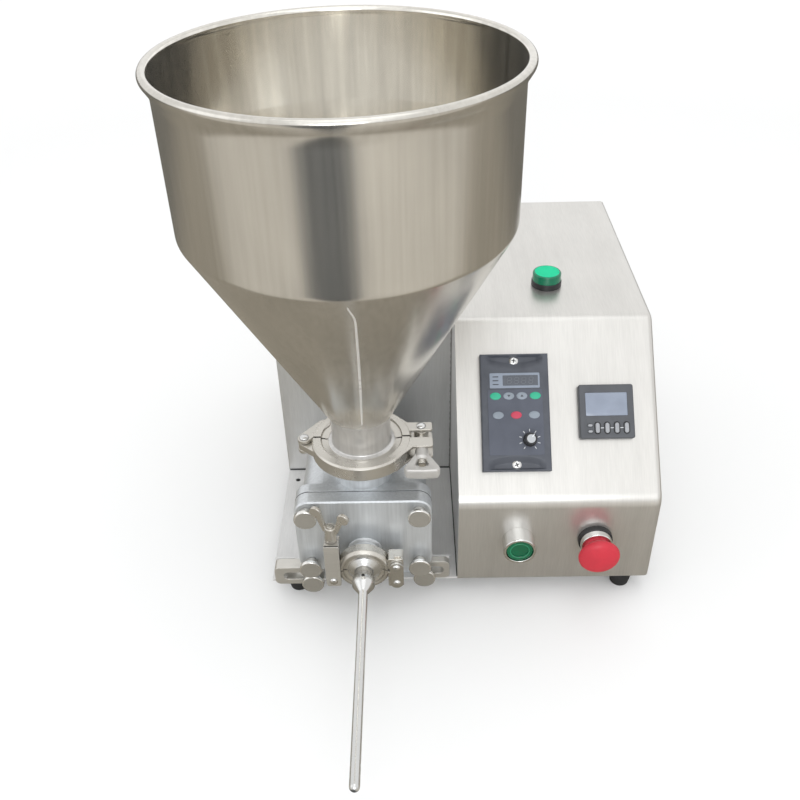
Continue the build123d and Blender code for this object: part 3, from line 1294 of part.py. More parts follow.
def outlet_wing_nut():
    """Butterfly nut: hub on the stud and two arms rising to round lobes."""
    low = LATCH_TOP + O_NUT_GAP
    top = low + O_NUT_HUB_HEIGHT
    nut = rod(O_NUT_HUB, low, top)
    for side in (-1, 1):
        arm = Polyline(
            (0, top - O_NUT_HUB),
            (side * O_NUT_HUB, top - O_NUT_HUB / 2),
            (side * (O_NUT_LOBE_X - O_NUT_LOBE / 2), O_NUT_LOBE_Y - O_NUT_LOBE),
            (side * (O_NUT_LOBE_X - O_NUT_LOBE / 2), O_NUT_LOBE_Y),
            (side * O_NUT_LOBE / 2, top - EDGE_BREAK),
            (0, top - EDGE_BREAK),
            close=True,
        )
        lobe = Pos(side * O_NUT_LOBE_X, O_NUT_LOBE_Y) * Circle(O_NUT_LOBE)
        wing = extrude(Plane.XZ * (make_face(arm) + lobe), O_NUT_THICK)
        nut += Pos(0, O_NUT_THICK / 2, 0) * wing
    nut -= rod(O_STUD_RADIUS + PIN_GAP, 0, O_STUD_TOP + RUN_GAP)
    return OUTLET * Pos(-STUD_X, 0, 0) * Rot(-90, 0, 0) * Rot(0, 0, O_NUT_REST_ANGLE) * nut


def rivet(radius, low, high):
    """Pin with a round head at each end."""
    head = radius + PIN_HEAD_LIP
    return turned(
        (0, low - PIN_HEAD),
        (head - PIN_HEAD_TAPER, low - PIN_HEAD),
        (head, low),
        (radius, low),
        (radius, high),
        (head, high),
        (head - PIN_HEAD_TAPER, high + PIN_HEAD),
        (0, high + PIN_HEAD),
    )


def clamp_hinges():
    """Pins of both clamps and the outlet clamp's two link plates."""
    upright = rivet(HINGE_PIN_RADIUS, -H_CLAMP_HALF, H_CLAMP_HALF)
    pieces = [
        HOPPER * Pos(-HINGE_X, 0, 0) * upright,
        HOPPER * Pos(BOLT_X, BOLT_PIVOT_Y, 0) * upright,
    ]
    near = O_CLAMP_HALF + FIT_GAP
    far = near + LINK_SHEET
    latch_front = O_CLAMP_HALF + RUN_GAP + LATCH_SHEET + FIT_GAP
    pieces.append(OUTLET * Pos(-STUD_X, LATCH_PIN, 0) * rivet(LATCH_PIN_RADIUS, -near, latch_front))
    middle = (LINK_UPPER + LINK_LOWER) / 2
    length = LINK_UPPER - LINK_LOWER + 2 * LINK_HALF
    for side in (-1, 1):
        low = near if side > 0 else -far
        link = Pos(LINK_X, middle, 0) * pill(length, 2 * LINK_HALF, low, low + LINK_SHEET)
        for level in (LINK_UPPER, LINK_LOWER):
            link -= pin_hole(LINK_X, level, LATCH_PIN_RADIUS)
        pieces.append(OUTLET * link)
    for level in (LINK_UPPER, LINK_LOWER):
        pieces.append(OUTLET * Pos(LINK_X, level, 0) * rivet(LATCH_PIN_RADIUS, -far, far))
    return together(pieces)


def nozzle_adapter():
    """Clamped cap that narrows to the hub the needle screws on."""
    face = CLAMP_GASKET / 2
    slope = math.tan(math.radians(FERRULE_TAPER))
    shoulder = face + FERRULE_RIM + (OUTLET_FERRULE - NOZZLE_SHOULDER) * slope
    cap = turned(
        (NEEDLE_BORE, HUB_END),
        (HUB_RADIUS, HUB_END),
        (HUB_RADIUS, shoulder + NOZZLE_CONE),
        (NOZZLE_SHOULDER, shoulder),
        (OUTLET_FERRULE, face + FERRULE_RIM),
        (OUTLET_FERRULE, face),
        (OUTLET_TUBE - TUBE_WALL, face),
        (NEEDLE_BORE, shoulder + TUBE_WALL),
    )
    return OUTLET * cap


def nozzle_tube():
    """Needle with its tapered nut: a closed round tip and two side ports."""
    nut_end = HUB_END + NOZZLE_NUT_LENGTH
    taper_end = nut_end + NOZZLE_TAPER
    tip = NEEDLE_LENGTH
    side = Polyline(
        (0, tip - NEEDLE_TIP_WALL),
        (NEEDLE_BORE, tip - NEEDLE_TIP_WALL - NEEDLE_BORE),
        (NEEDLE_BORE, HUB_END),
        (NOZZLE_NUT_RADIUS, HUB_END),
        (NOZZLE_NUT_RADIUS, nut_end),
        (NEEDLE_RADIUS, taper_end),
        (NEEDLE_RADIUS, tip - NEEDLE_RADIUS),
    )
    nose = TangentArc((NEEDLE_RADIUS, tip - NEEDLE_RADIUS), (0, tip), tangent=(0, 1))
    close = Line((0, tip), (0, tip - NEEDLE_TIP_WALL))
    needle = revolve(Plane.XZ * make_face(side + nose + close), Axis.Z)
    port = Rot(0, 90, 0) * Cylinder(NEEDLE_PORT_RADIUS, 4 * NEEDLE_RADIUS)
    return OUTLET * (needle - Pos(0, 0, tip - NEEDLE_PORT_BACK) * port)


def machine():
    """Every piece by name, in the working datum."""
    pieces = {
        "housing_shell": housing_shell(),
        "base_plate": base_plate(),
        "rear_panel": rear_panel(),
        "panel_screws": panel_screws(),
        "rubber_feet": rubber_feet(),
        "power_inlet": power_inlet(),
        "lamp_body": lamp_body(),
        "lamp_lens": lamp_lens(),
        "start_button_body": start_button_body(),
        "start_button_cap": start_button_cap(),
        "estop_collar": estop_collar(),
        "estop_bezel": estop_bezel(),
        "estop_stem": estop_stem(),
        "estop_head": estop_head(),
        "panel_lock_nuts": panel_lock_nuts(),
        "controller_case": controller_case(),
        "controller_keypad": controller_keypad(),
        "controller_display": controller_display(),
        "speed_knob": speed_knob(),
        "timer_case": timer_case(),
        "timer_screen": timer_screen(),
        "timer_reset_key": timer_small_key(SMALL_KEY_V[0]),
        "timer_lock_key": timer_small_key(SMALL_KEY_V[1]),
        "gear_motor": gear_motor(),
        "gearbox": gearbox(),
        "motor_bracket": motor_bracket(),
        "gearbox_shaft": gearbox_shaft(),
        "drive_coupling": drive_coupling(),
        "drive_shaft": drive_shaft(),
        "drive_rotor": drive_rotor(),
        "idler_rotor": idler_rotor(),
        "shaft_bushes": shaft_bushes(),
        "pump_body": pump_body(),
        "pump_cover": pump_cover(),
        "seals": seals(),
        "cover_studs": cover_studs(),
        "hold_down_left": hold_down(HOLD_LEFT_OUT, HOLD_LEFT_IN, HOLD_LEFT_SLOT, HOLD_LEFT_THICK),
        "hold_down_right": hold_down(HOLD_RIGHT_OUT, HOLD_RIGHT_IN, HOLD_RIGHT_SLOT, HOLD_RIGHT_THICK),
        "hold_down_screw_left": hold_down_screw(HOLD_LEFT_SCREW, HOLD_LEFT_THICK),
        "hold_down_screw_right": hold_down_screw(HOLD_RIGHT_SCREW, HOLD_RIGHT_THICK),
        "hopper": hopper(),
        "hopper_clamp_rear": hopper_clamp_rear(),
        "hopper_clamp_front": hopper_clamp_front(),
        "hopper_swing_bolt": hopper_swing_bolt(),
        "hopper_wing_nut": hopper_wing_nut(),
        "clamp_hinges": clamp_hinges(),
        "outlet_clamp_upper": outlet_clamp_upper(),
        "outlet_clamp_lower": outlet_clamp_lower(),
        "outlet_swing_latch": outlet_swing_latch(),
        "outlet_wing_nut": outlet_wing_nut(),
        "nozzle_adapter": nozzle_adapter(),
        "nozzle_tube": nozzle_tube(),
    }
    for count, x in enumerate(ROCKER_X, start=1):
        pieces[f"timer_rocker_{count}"] = timer_rocker(x)
    for count, (x, z) in enumerate(STUDS, start=1):
        pieces[f"cover_knob_{count}"] = cover_knob(x, z)
    return pieces


def origin(pieces):
    """Middle of the machine's footprint, at the table, in the working datum."""
    boxes = [piece.bounding_box() for piece in pieces.values()]
    low_x = min(box.min.X for box in boxes)
    high_x = max(box.max.X for box in boxes)
    low_y = min(box.min.Y for box in boxes)
    high_y = max(box.max.Y for box in boxes)
    return Vector((low_x + high_x) / 2, (low_y + high_y) / 2, -FOOT_HEIGHT)


def main():
    """Build every piece and write it in the machine's own frame."""
    os.makedirs("parts", exist_ok=True)
    pieces = machine()
    start = origin(pieces)
    for name, piece in pieces.items():
        export_step(Pos(-start.X, -start.Y, -start.Z) * piece, f"parts/{name}.step")
    print("origin in the working datum:", round(start.X, 4), round(start.Y, 4), round(start.Z, 4))


if __name__ == "__main__":
    main()
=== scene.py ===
"""Looks of a table-top cream filling machine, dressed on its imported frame.

Sizes are millimetres in the machine's working datum: X = 0 on the control box's left wall, Y = 0 on its
front face with +Y to the rear, Z = 0 on the lower edge of the case. The Workshop turns them into the
frame's metres, so each piece is drawn in its own plain coordinates and set in place by a matrix.
"""

from __future__ import annotations

import json
import logging
import math
from dataclasses import dataclass
from enum import Enum
from typing import Sequence

import bmesh
import bpy
import numpy as np
from mathutils import Matrix, Vector

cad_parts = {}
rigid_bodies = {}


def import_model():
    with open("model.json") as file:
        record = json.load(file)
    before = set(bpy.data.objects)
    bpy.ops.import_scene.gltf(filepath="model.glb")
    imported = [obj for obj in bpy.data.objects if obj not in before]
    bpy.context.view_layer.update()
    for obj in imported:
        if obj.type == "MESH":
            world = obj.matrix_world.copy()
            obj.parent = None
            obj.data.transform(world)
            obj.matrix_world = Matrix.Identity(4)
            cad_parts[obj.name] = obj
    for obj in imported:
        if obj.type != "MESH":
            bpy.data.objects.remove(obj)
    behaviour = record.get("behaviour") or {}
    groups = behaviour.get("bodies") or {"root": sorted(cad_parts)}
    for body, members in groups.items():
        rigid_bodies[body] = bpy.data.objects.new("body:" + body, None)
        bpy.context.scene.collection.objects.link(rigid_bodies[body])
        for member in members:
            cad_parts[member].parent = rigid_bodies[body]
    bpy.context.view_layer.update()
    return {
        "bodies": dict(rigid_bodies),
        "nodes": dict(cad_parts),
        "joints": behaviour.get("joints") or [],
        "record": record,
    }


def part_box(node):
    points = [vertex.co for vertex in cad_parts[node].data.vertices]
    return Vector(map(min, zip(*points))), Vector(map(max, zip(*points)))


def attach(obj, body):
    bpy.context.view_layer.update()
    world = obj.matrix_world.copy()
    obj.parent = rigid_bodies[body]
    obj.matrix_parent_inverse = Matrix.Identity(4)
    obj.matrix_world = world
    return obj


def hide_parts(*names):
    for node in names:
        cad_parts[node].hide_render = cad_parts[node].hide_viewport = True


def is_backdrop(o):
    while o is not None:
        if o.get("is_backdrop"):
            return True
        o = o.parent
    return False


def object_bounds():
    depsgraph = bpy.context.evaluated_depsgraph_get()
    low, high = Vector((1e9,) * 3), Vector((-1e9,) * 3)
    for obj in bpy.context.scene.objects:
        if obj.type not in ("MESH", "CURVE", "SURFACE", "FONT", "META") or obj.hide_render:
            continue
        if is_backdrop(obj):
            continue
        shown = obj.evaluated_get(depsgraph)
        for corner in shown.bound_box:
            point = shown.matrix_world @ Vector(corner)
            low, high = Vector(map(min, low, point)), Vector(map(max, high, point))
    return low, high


LOG = logging.getLogger("filling_machine")
METRES = 0.001
FULL_TURN = 2.0 * math.pi
PANEL_TILT = math.radians(45.0)
MERGE_DISTANCE = 2.0e-6
WELD_DISTANCE = 1.0e-6
SHARP_ANGLE = math.radians(38.0)
ARC_ROOM = 0.46
HOLD_ROOM = 0.08
MITRE_LIMIT = 0.4
CAP_INSET = 1.6
LEAST_EDGE = 0.05

Array = np.ndarray
Colour = tuple[float, float, float]
Point = tuple[float, float]
Spot = tuple[float, float, float]


# Curves in a plane

def rounded(
    corners: Sequence[Sequence[float]], closed: bool = False, steps: int = 6, hold: float = 0.2
) -> Array:
    """Polyline whose corners are tangent arcs.

    Each corner of radius r lies between two straight runs; the arc touches both at r / tan(half the angle)
    from the corner, or at ARC_ROOM of the shorter run if that is nearer. A point is kept just before and
    after each arc, so that flat runs shade flat.

    Args:
        corners: Corners as (a, b) or (a, b, radius).
        closed: Whether the last corner joins the first.
        steps: Spans of each arc.
        hold: Distance of the kept points from the arc's ends.

    Returns:
        Points of the line, one row each.
    """
    spots = np.array([corner[:2] for corner in corners], float)
    pieces: list[Array] = []
    for index, corner in enumerate(corners):
        here = spots[index]
        radius = corner[2] if len(corner) > 2 else 0.0
        at_end = not closed and index in (0, len(spots) - 1)
        if radius <= 0.0 or at_end:
            pieces.append(here[None])
            continue
        back = spots[index - 1] - here
        ahead = spots[(index + 1) % len(spots)] - here
        room = ARC_ROOM * min(np.linalg.norm(back), np.linalg.norm(ahead))
        back, ahead = back / np.linalg.norm(back), ahead / np.linalg.norm(ahead)
        half = 0.5 * math.acos(float(np.clip(back @ ahead, -1.0, 1.0)))
        reach = min(radius / math.tan(half), room)
        middle = (back + ahead) / np.linalg.norm(back + ahead)
        centre = here + middle * reach / math.cos(half)
        turn = math.pi - 2.0 * half
        share = np.linspace(0.0, 1.0, steps + 1)[:, None]
        first, last = here + back * reach - centre, here + ahead * reach - centre
        arc = centre + (np.sin((1.0 - share) * turn) * first + np.sin(share * turn) * last) / math.sin(turn)
        keep = min(hold, HOLD_ROOM * room)
        pieces += [(here + back * (reach + keep))[None], arc, (here + ahead * (reach + keep))[None]]
    return np.concatenate(pieces)


def rectangle(width: float, height: float, radius: float, middle: Point = (0.0, 0.0)) -> Array:
    """Outline of a rectangle about its middle with rounded corners, counter-clockwise."""
    ways = ((-0.5, -0.5), (0.5, -0.5), (0.5, 0.5), (-0.5, 0.5))
    return rounded([(a * width, b * height, radius) for a, b in ways], closed=True) + np.array(middle)


def sweep(angle: Array, across: float | Array, along: float | Array) -> Array:
    """Points (across cos a, along sin a) at each angle a."""
    return np.stack([across * np.cos(angle), along * np.sin(angle)], -1)


def ellipse(across: float, along: float, count: int = 48, middle: Point = (0.0, 0.0)) -> Array:
    """Outline of an ellipse about its middle, with its two half sizes, counter-clockwise."""
    turn = np.linspace(0.0, FULL_TURN, count, endpoint=False)
    return sweep(turn, across, along) + np.array(middle)


def pill(start: Point, end: Point, half: float, count: int = 14) -> Array:
    """Bar with round ends between two points, counter-clockwise: two half circles joined by straight runs.

    Args:
        start: Middle of the first round end.
        end: Middle of the second round end.
        half: Half the bar's width.
        count: Points of each half circle.

    Returns:
        Points of the closed outline.
    """
    lean = math.atan2(end[1] - start[1], end[0] - start[0])
    turn = np.linspace(-math.pi / 2.0, math.pi / 2.0, count) + lean
    cap = sweep(turn, half, half)
    return np.concatenate([np.array(end) + cap, np.array(start) - cap])


def outward(outline: Array) -> Array:
    """Unit offsets of a closed outline, lengthened at corners so that every side moves out by one.

    Args:
        outline: Counter-clockwise points.

    Returns:
        One offset for each point.
    """
    ahead = np.roll(outline, -1, 0) - outline
    ahead /= np.linalg.norm(ahead, axis=1, keepdims=True)
    back = np.roll(ahead, 1, 0)
    both = ahead + back
    normal = np.stack([both[:, 1], -both[:, 0]], -1)
    return normal * 2.0 / np.maximum((both ** 2).sum(1, keepdims=True), MITRE_LIMIT)


# Places

def at(x: float, y: float, z: float) -> Array:
    """Place whose own axes are those of the machine.

    Args:
        x: Place from left to right.
        y: Place from front to rear.
        z: Height.

    Returns:
        Four by four matrix in millimetres.
    """
    place = np.eye(4)
    place[:3, 3] = (x, y, z)
    return place


DATUM = at(0.0, 0.0, 0.0)
FRONTWARD = DATUM[[0, 2, 1, 3]] * np.array([[1.0], [-1.0], [1.0], [1.0]])  # own Z to the front, own Y up
UPWARD = FRONTWARD.T  # back from FRONTWARD: own Z up within a place that faces the front


def facing_front(x: float, y: float, z: float) -> Array:
    """Place whose own Z points to the front and whose own Y points up."""
    return at(x, y, z) @ FRONTWARD


def spun(angle: float) -> Array:
    """Turn about the own Z axis.

    Args:
        angle: Angle in radians.

    Returns:
        Four by four matrix.
    """
    place = np.eye(4)
    place[:2, :2] = ((math.cos(angle), -math.sin(angle)), (math.sin(angle), math.cos(angle)))
    return place


# Surfaces

class Skin:
    """Grid patches and flat caps gathered into one mesh, with lengths along the surface as UV."""

    def __init__(self) -> None:
        """Starts empty."""
        self.points: list[Array] = []
        self.faces: list[list[int]] = []
        self.uv: list[Array] = []
        self.slots: list[int] = []
        self.count = 0

    def grid(self, points: Array) -> Skin:
        """Adds a surface given as a grid over two parameters, in the first material slot.

        Args:
            points: Array of rows, columns and coordinates.

        Returns:
            This skin.
        """
        rows, columns = points.shape[:2]
        index = np.arange(rows * columns).reshape(rows, columns)
        quads = np.stack([index[:-1, :-1], index[:-1, 1:], index[1:, 1:], index[1:, :-1]], -1)
        quads = quads.reshape(-1, 4)
        down = np.linalg.norm(np.diff(points, axis=0), axis=2).max(1)
        across = np.linalg.norm(np.diff(points, axis=1), axis=2).max(0)
        v, u = np.concatenate([[0.0], down.cumsum()]), np.concatenate([[0.0], across.cumsum()])
        spread = np.stack(np.meshgrid(u, v), -1).reshape(-1, 2)
        self.uv.append(spread[quads].reshape(-1, 2))
        self.faces += (quads + self.count).tolist()
        self.slots += [0] * len(quads)
        self.points.append(points.reshape(-1, 3))
        self.count += rows * columns
        return self

    def cap(self, ring: Array, slot: int = 0) -> Skin:
        """Adds a flat face inside a ring of points.

        Args:
            ring: Points of its edge.
            slot: Material slot of the face.

        Returns:
            This skin.
        """
        spans = np.argsort(-np.ptp(ring, axis=0))[:2]
        self.uv.append(ring[:, np.sort(spans)])
        self.faces.append(list(range(self.count, self.count + len(ring))))
        self.slots.append(slot)
        self.points.append(ring)
        self.count += len(ring)
        return self

    def join(self, other: Skin, place: Array | None = None) -> Skin:
        """Adds another skin's surfaces, moved to a place.

        Args:
            other: The skin to take in.
            place: Matrix it is moved by.

        Returns:
            This skin.
        """
        move = DATUM if place is None else place
        self.points += [points @ move[:3, :3].T + move[:3, 3] for points in other.points]
        self.faces += [[index + self.count for index in face] for face in other.faces]
        self.uv += other.uv
        self.slots += other.slots
        self.count += other.count
        return self

    def mesh(self, name: str, place: Array, closed: bool = True) -> bpy.types.Mesh:
        """Makes the mesh: seams and poles merged, faces outward, smooth but for sharp and free edges.

        Args:
            name: The mesh's name.
            place: Matrix from own millimetres to the frame's metres.
            closed: Whether the surface is closed; faces of an open one are turned away from its middle.

        Returns:
            The mesh.
        """
        mesh = bpy.data.meshes.new(name)
        points = np.concatenate(self.points) @ place[:3, :3].T + place[:3, 3]
        mesh.from_pydata(points.tolist(), [], self.faces)
        layer = mesh.uv_layers.new(name="UVMap")
        layer.data.foreach_set("uv", (np.concatenate(self.uv) * METRES).astype(np.float32).ravel())
        mesh.polygons.foreach_set("material_index", self.slots)
        work = bmesh.new()
        work.from_mesh(mesh)
        bmesh.ops.remove_doubles(work, verts=work.verts, dist=MERGE_DISTANCE)
        bmesh.ops.dissolve_degenerate(work, edges=work.edges, dist=MERGE_DISTANCE / 2.0)
        bmesh.ops.recalc_face_normals(work, faces=work.faces)
        middle = Vector(points.mean(0))
        facing = sum(face.normal.dot(face.calc_center_median() - middle) for face in work.faces)
        if not closed and facing < 0.0:
            bmesh.ops.reverse_faces(work, faces=work.faces)
        work.to_mesh(mesh)
        work.free()
        mesh.polygons.foreach_set("use_smooth", [True] * len(mesh.polygons))
        mesh.set_sharp_from_angle(angle=SHARP_ANGLE)
        if not closed:
            self.sharpen_free_edges(mesh)
        return mesh

    @staticmethod
    def sharpen_free_edges(mesh: bpy.types.Mesh) -> None:
        """Marks the edges that only one face uses as sharp, so that a sheet given thickness shades cleanly.

        Args:
            mesh: The mesh.
        """
        corners = np.empty(len(mesh.loops), np.int32)
        mesh.loops.foreach_get("edge_index", corners)
        sharp = np.empty(len(mesh.edges), bool)
        mesh.edges.foreach_get("use_edge_sharp", sharp)
        free = np.bincount(corners, minlength=len(mesh.edges)) == 1
        mesh.edges.foreach_set("use_edge_sharp", sharp | free)


def lofted(outline: Array, section: Array) -> Skin:
    """Closed outline carried along a section: at each (inset, height) it is drawn in by the inset and lifted.

    Args:
        outline: Counter-clockwise points in the own XY plane.
        section: Rows of (inset, height), from one flat end to the other.

    Returns:
        A closed skin with a flat cap at each end.
    """
    flat = outline[None] - outward(outline)[None] * section[:, :1, None]
    height = np.broadcast_to(section[:, 1, None, None], flat.shape[:2] + (1,))
    rings = np.concatenate([flat, height], -1)
    rings = np.concatenate([rings, rings[:, :1]], 1)
    return Skin().grid(rings).cap(rings[0, -2::-1]).cap(rings[-1, :-1])


def slab(outline: Array, low: float, high: float, edge: float) -> Skin:
    """Plate from a low to a high face whose outline is lofted over edges rounded to a radius."""
    section = ((CAP_INSET * edge, low), (0.0, low, edge), (0.0, high, edge), (CAP_INSET * edge, high))
    return lofted(outline, rounded(section, steps=3, hold=0.1))


def revolved(
    profile: Array, count: int = 96, start: float = 0.0, turn: float = FULL_TURN, slots: Sequence[int] = ()
) -> Skin:
    """Profile of (radius, height) turned about the own Z axis: (r cos a, r sin a, h).

    Args:
        profile: Rows of (radius, height); for a part turn it is a closed loop and the ends are capped.
        count: Number of spans round the axis.
        start: First angle.
        turn: Angle swept.
        slots: Material slot of each span of the profile; the first slot for all if empty.

    Returns:
        A skin.
    """
    angle = start + np.linspace(0.0, turn, count + 1)
    radius = profile[:, :1]
    height = np.broadcast_to(profile[:, 1:2], (len(profile), count + 1))
    points = np.stack([radius * np.cos(angle), radius * np.sin(angle), height], -1)
    skin = Skin().grid(points)
    if turn < FULL_TURN - 1.0e-6:
        skin.cap(points[:-1, 0]).cap(points[-2::-1, -1])
    if slots:
        skin.slots = np.repeat(slots, count).tolist()
    return skin


def turned(corners: Sequence[Sequence[float]], count: int = 96, steps: int = 6) -> Skin:
    """Turned piece: a line with rounded corners about the own Z axis, joined up inside if it stays off it.

    Args:
        corners: Corners of (radius, height, corner radius), from the inner foot round the outside.
        count: Number of spans round the axis.
        steps: Spans of each rounded corner.

    Returns:
        A closed skin.
    """
    line = rounded(corners, steps=steps)
    if corners[0][0] > 0.0:
        line = np.concatenate([line, line[:1]])
    return revolved(line, count)


def rod(radius: float, low: float, high: float, edges: Point, count: int = 40, steps: int = 4) -> Skin:
    """Solid round bar along the own Z axis; edges holds the radii of its lower and upper edge."""
    corners = ((0.0, low), (radius, low, edges[0]), (radius, high, edges[1]), (0.0, high))
    return turned(corners, count, steps)


def tube(path: Array, radius: Array, count: int = 16) -> Skin:
    """Round section carried along a path, square to it, with its own radius at each point.

    Args:
        path: Points of the middle line.
        radius: Radius at each point.
        count: Points round the section.

    Returns:
        A closed skin with flat ends.
    """
    askew = np.array([0.37, 0.61, 0.70])  # a direction that no path follows
    along = np.gradient(path, axis=0)
    along /= np.linalg.norm(along, axis=1, keepdims=True)
    side = np.cross(along, askew)
    side /= np.linalg.norm(side, axis=1, keepdims=True)
    over = np.cross(along, side)
    turn = np.linspace(0.0, FULL_TURN, count + 1)[None, :, None]
    spoke = np.cos(turn) * side[:, None] + np.sin(turn) * over[:, None]
    ring = path[:, None] + radius[:, None, None] * spoke
    return Skin().grid(ring).cap(ring[0, -2::-1]).cap(ring[-1, :-1])


def dome(across: float, along: float, rise: float) -> Skin:
    """Low cushion over an ellipse: height = rise (1 - q^p)^(1/p) at the share q of the way to its edge.

    Args:
        across: Half size along the first axis.
        along: Half size along the second axis.
        rise: Height in the middle.

    Returns:
        A closed skin standing on zero.
    """
    power, rings, count = 2.6, 10, 40
    share = np.sin(np.linspace(0.0, math.pi / 2.0, rings + 1))[:, None]
    turn = np.linspace(0.0, FULL_TURN, count + 1)[None]
    height = rise * (1.0 - share ** power).clip(0.0) ** (1.0 / power)
    height = np.broadcast_to(height, (rings + 1, count + 1))
    points = np.stack([across * share * np.cos(turn), along * share * np.sin(turn), height], -1)
    return Skin().grid(points).cap(points[-1, :-1])


def printed(outline: Array, face: float, proud: float = 0.05, sunk: float = 0.1) -> Skin:
    """Print on a face at a height: a plate of hair's thickness, partly proud of it and partly sunk in."""
    return slab(outline, face - sunk, face + proud, 0.03)


# Finishes

class Grain(Enum):
    """Where a finish's marks run."""

    OBJECT = "object"
    SURFACE = "surface"


@dataclass(frozen=True)
class Metal:
    """Bare metal with brush or lathe marks, soft smudges and a fine pitting.

    Attributes:
        colour: Reflected colour.
        roughness: Middle roughness.
        stretch: Marks per metre along the three axes of the pattern.
        marks: Strength of the marks in relief.
        smudge: Strength of the soft patches.
        pits: Strength of a cast skin's pitting.
        bare: Share of mirror-like metal; the rest scatters light as a blasted skin does.
        streak: How far the marks lighten and darken the colour.
        grain: What the marks follow.
    """

    colour: Colour
    roughness: float
    stretch: Spot
    marks: float = 0.05
    smudge: float = 0.5
    pits: float = 0.0
    bare: float = 1.0
    streak: float = 0.06
    grain: Grain = Grain.OBJECT


@dataclass(frozen=True)
class Plastic:
    """Moulded plastic or rubber with a fine texture.

    Attributes:
        colour: Its colour.
        roughness: Middle roughness.
        texture: Texture cells per metre.
        relief: Strength of the texture in relief.
        tint: How far the colour wanders.
        coat: Weight of a clear coat.
        shine: How strongly its surface mirrors.
        clear: Share of light let through.
        glow: Strength of its own light.
    """

    colour: Colour
    roughness: float
    texture: float = 2500.0
    relief: float = 0.08
    tint: float = 0.12
    coat: float = 0.0
    shine: float = 0.5
    clear: float = 0.0
    glow: float = 0.0


BRUSHED = (900.0, 60.0, 60.0)
LATHE = (30.0, 2500.0, 1.0)
ROUND_SHAFT = (20.0, 900.0, 20.0)
ALL_WAYS = (300.0, 300.0, 300.0)


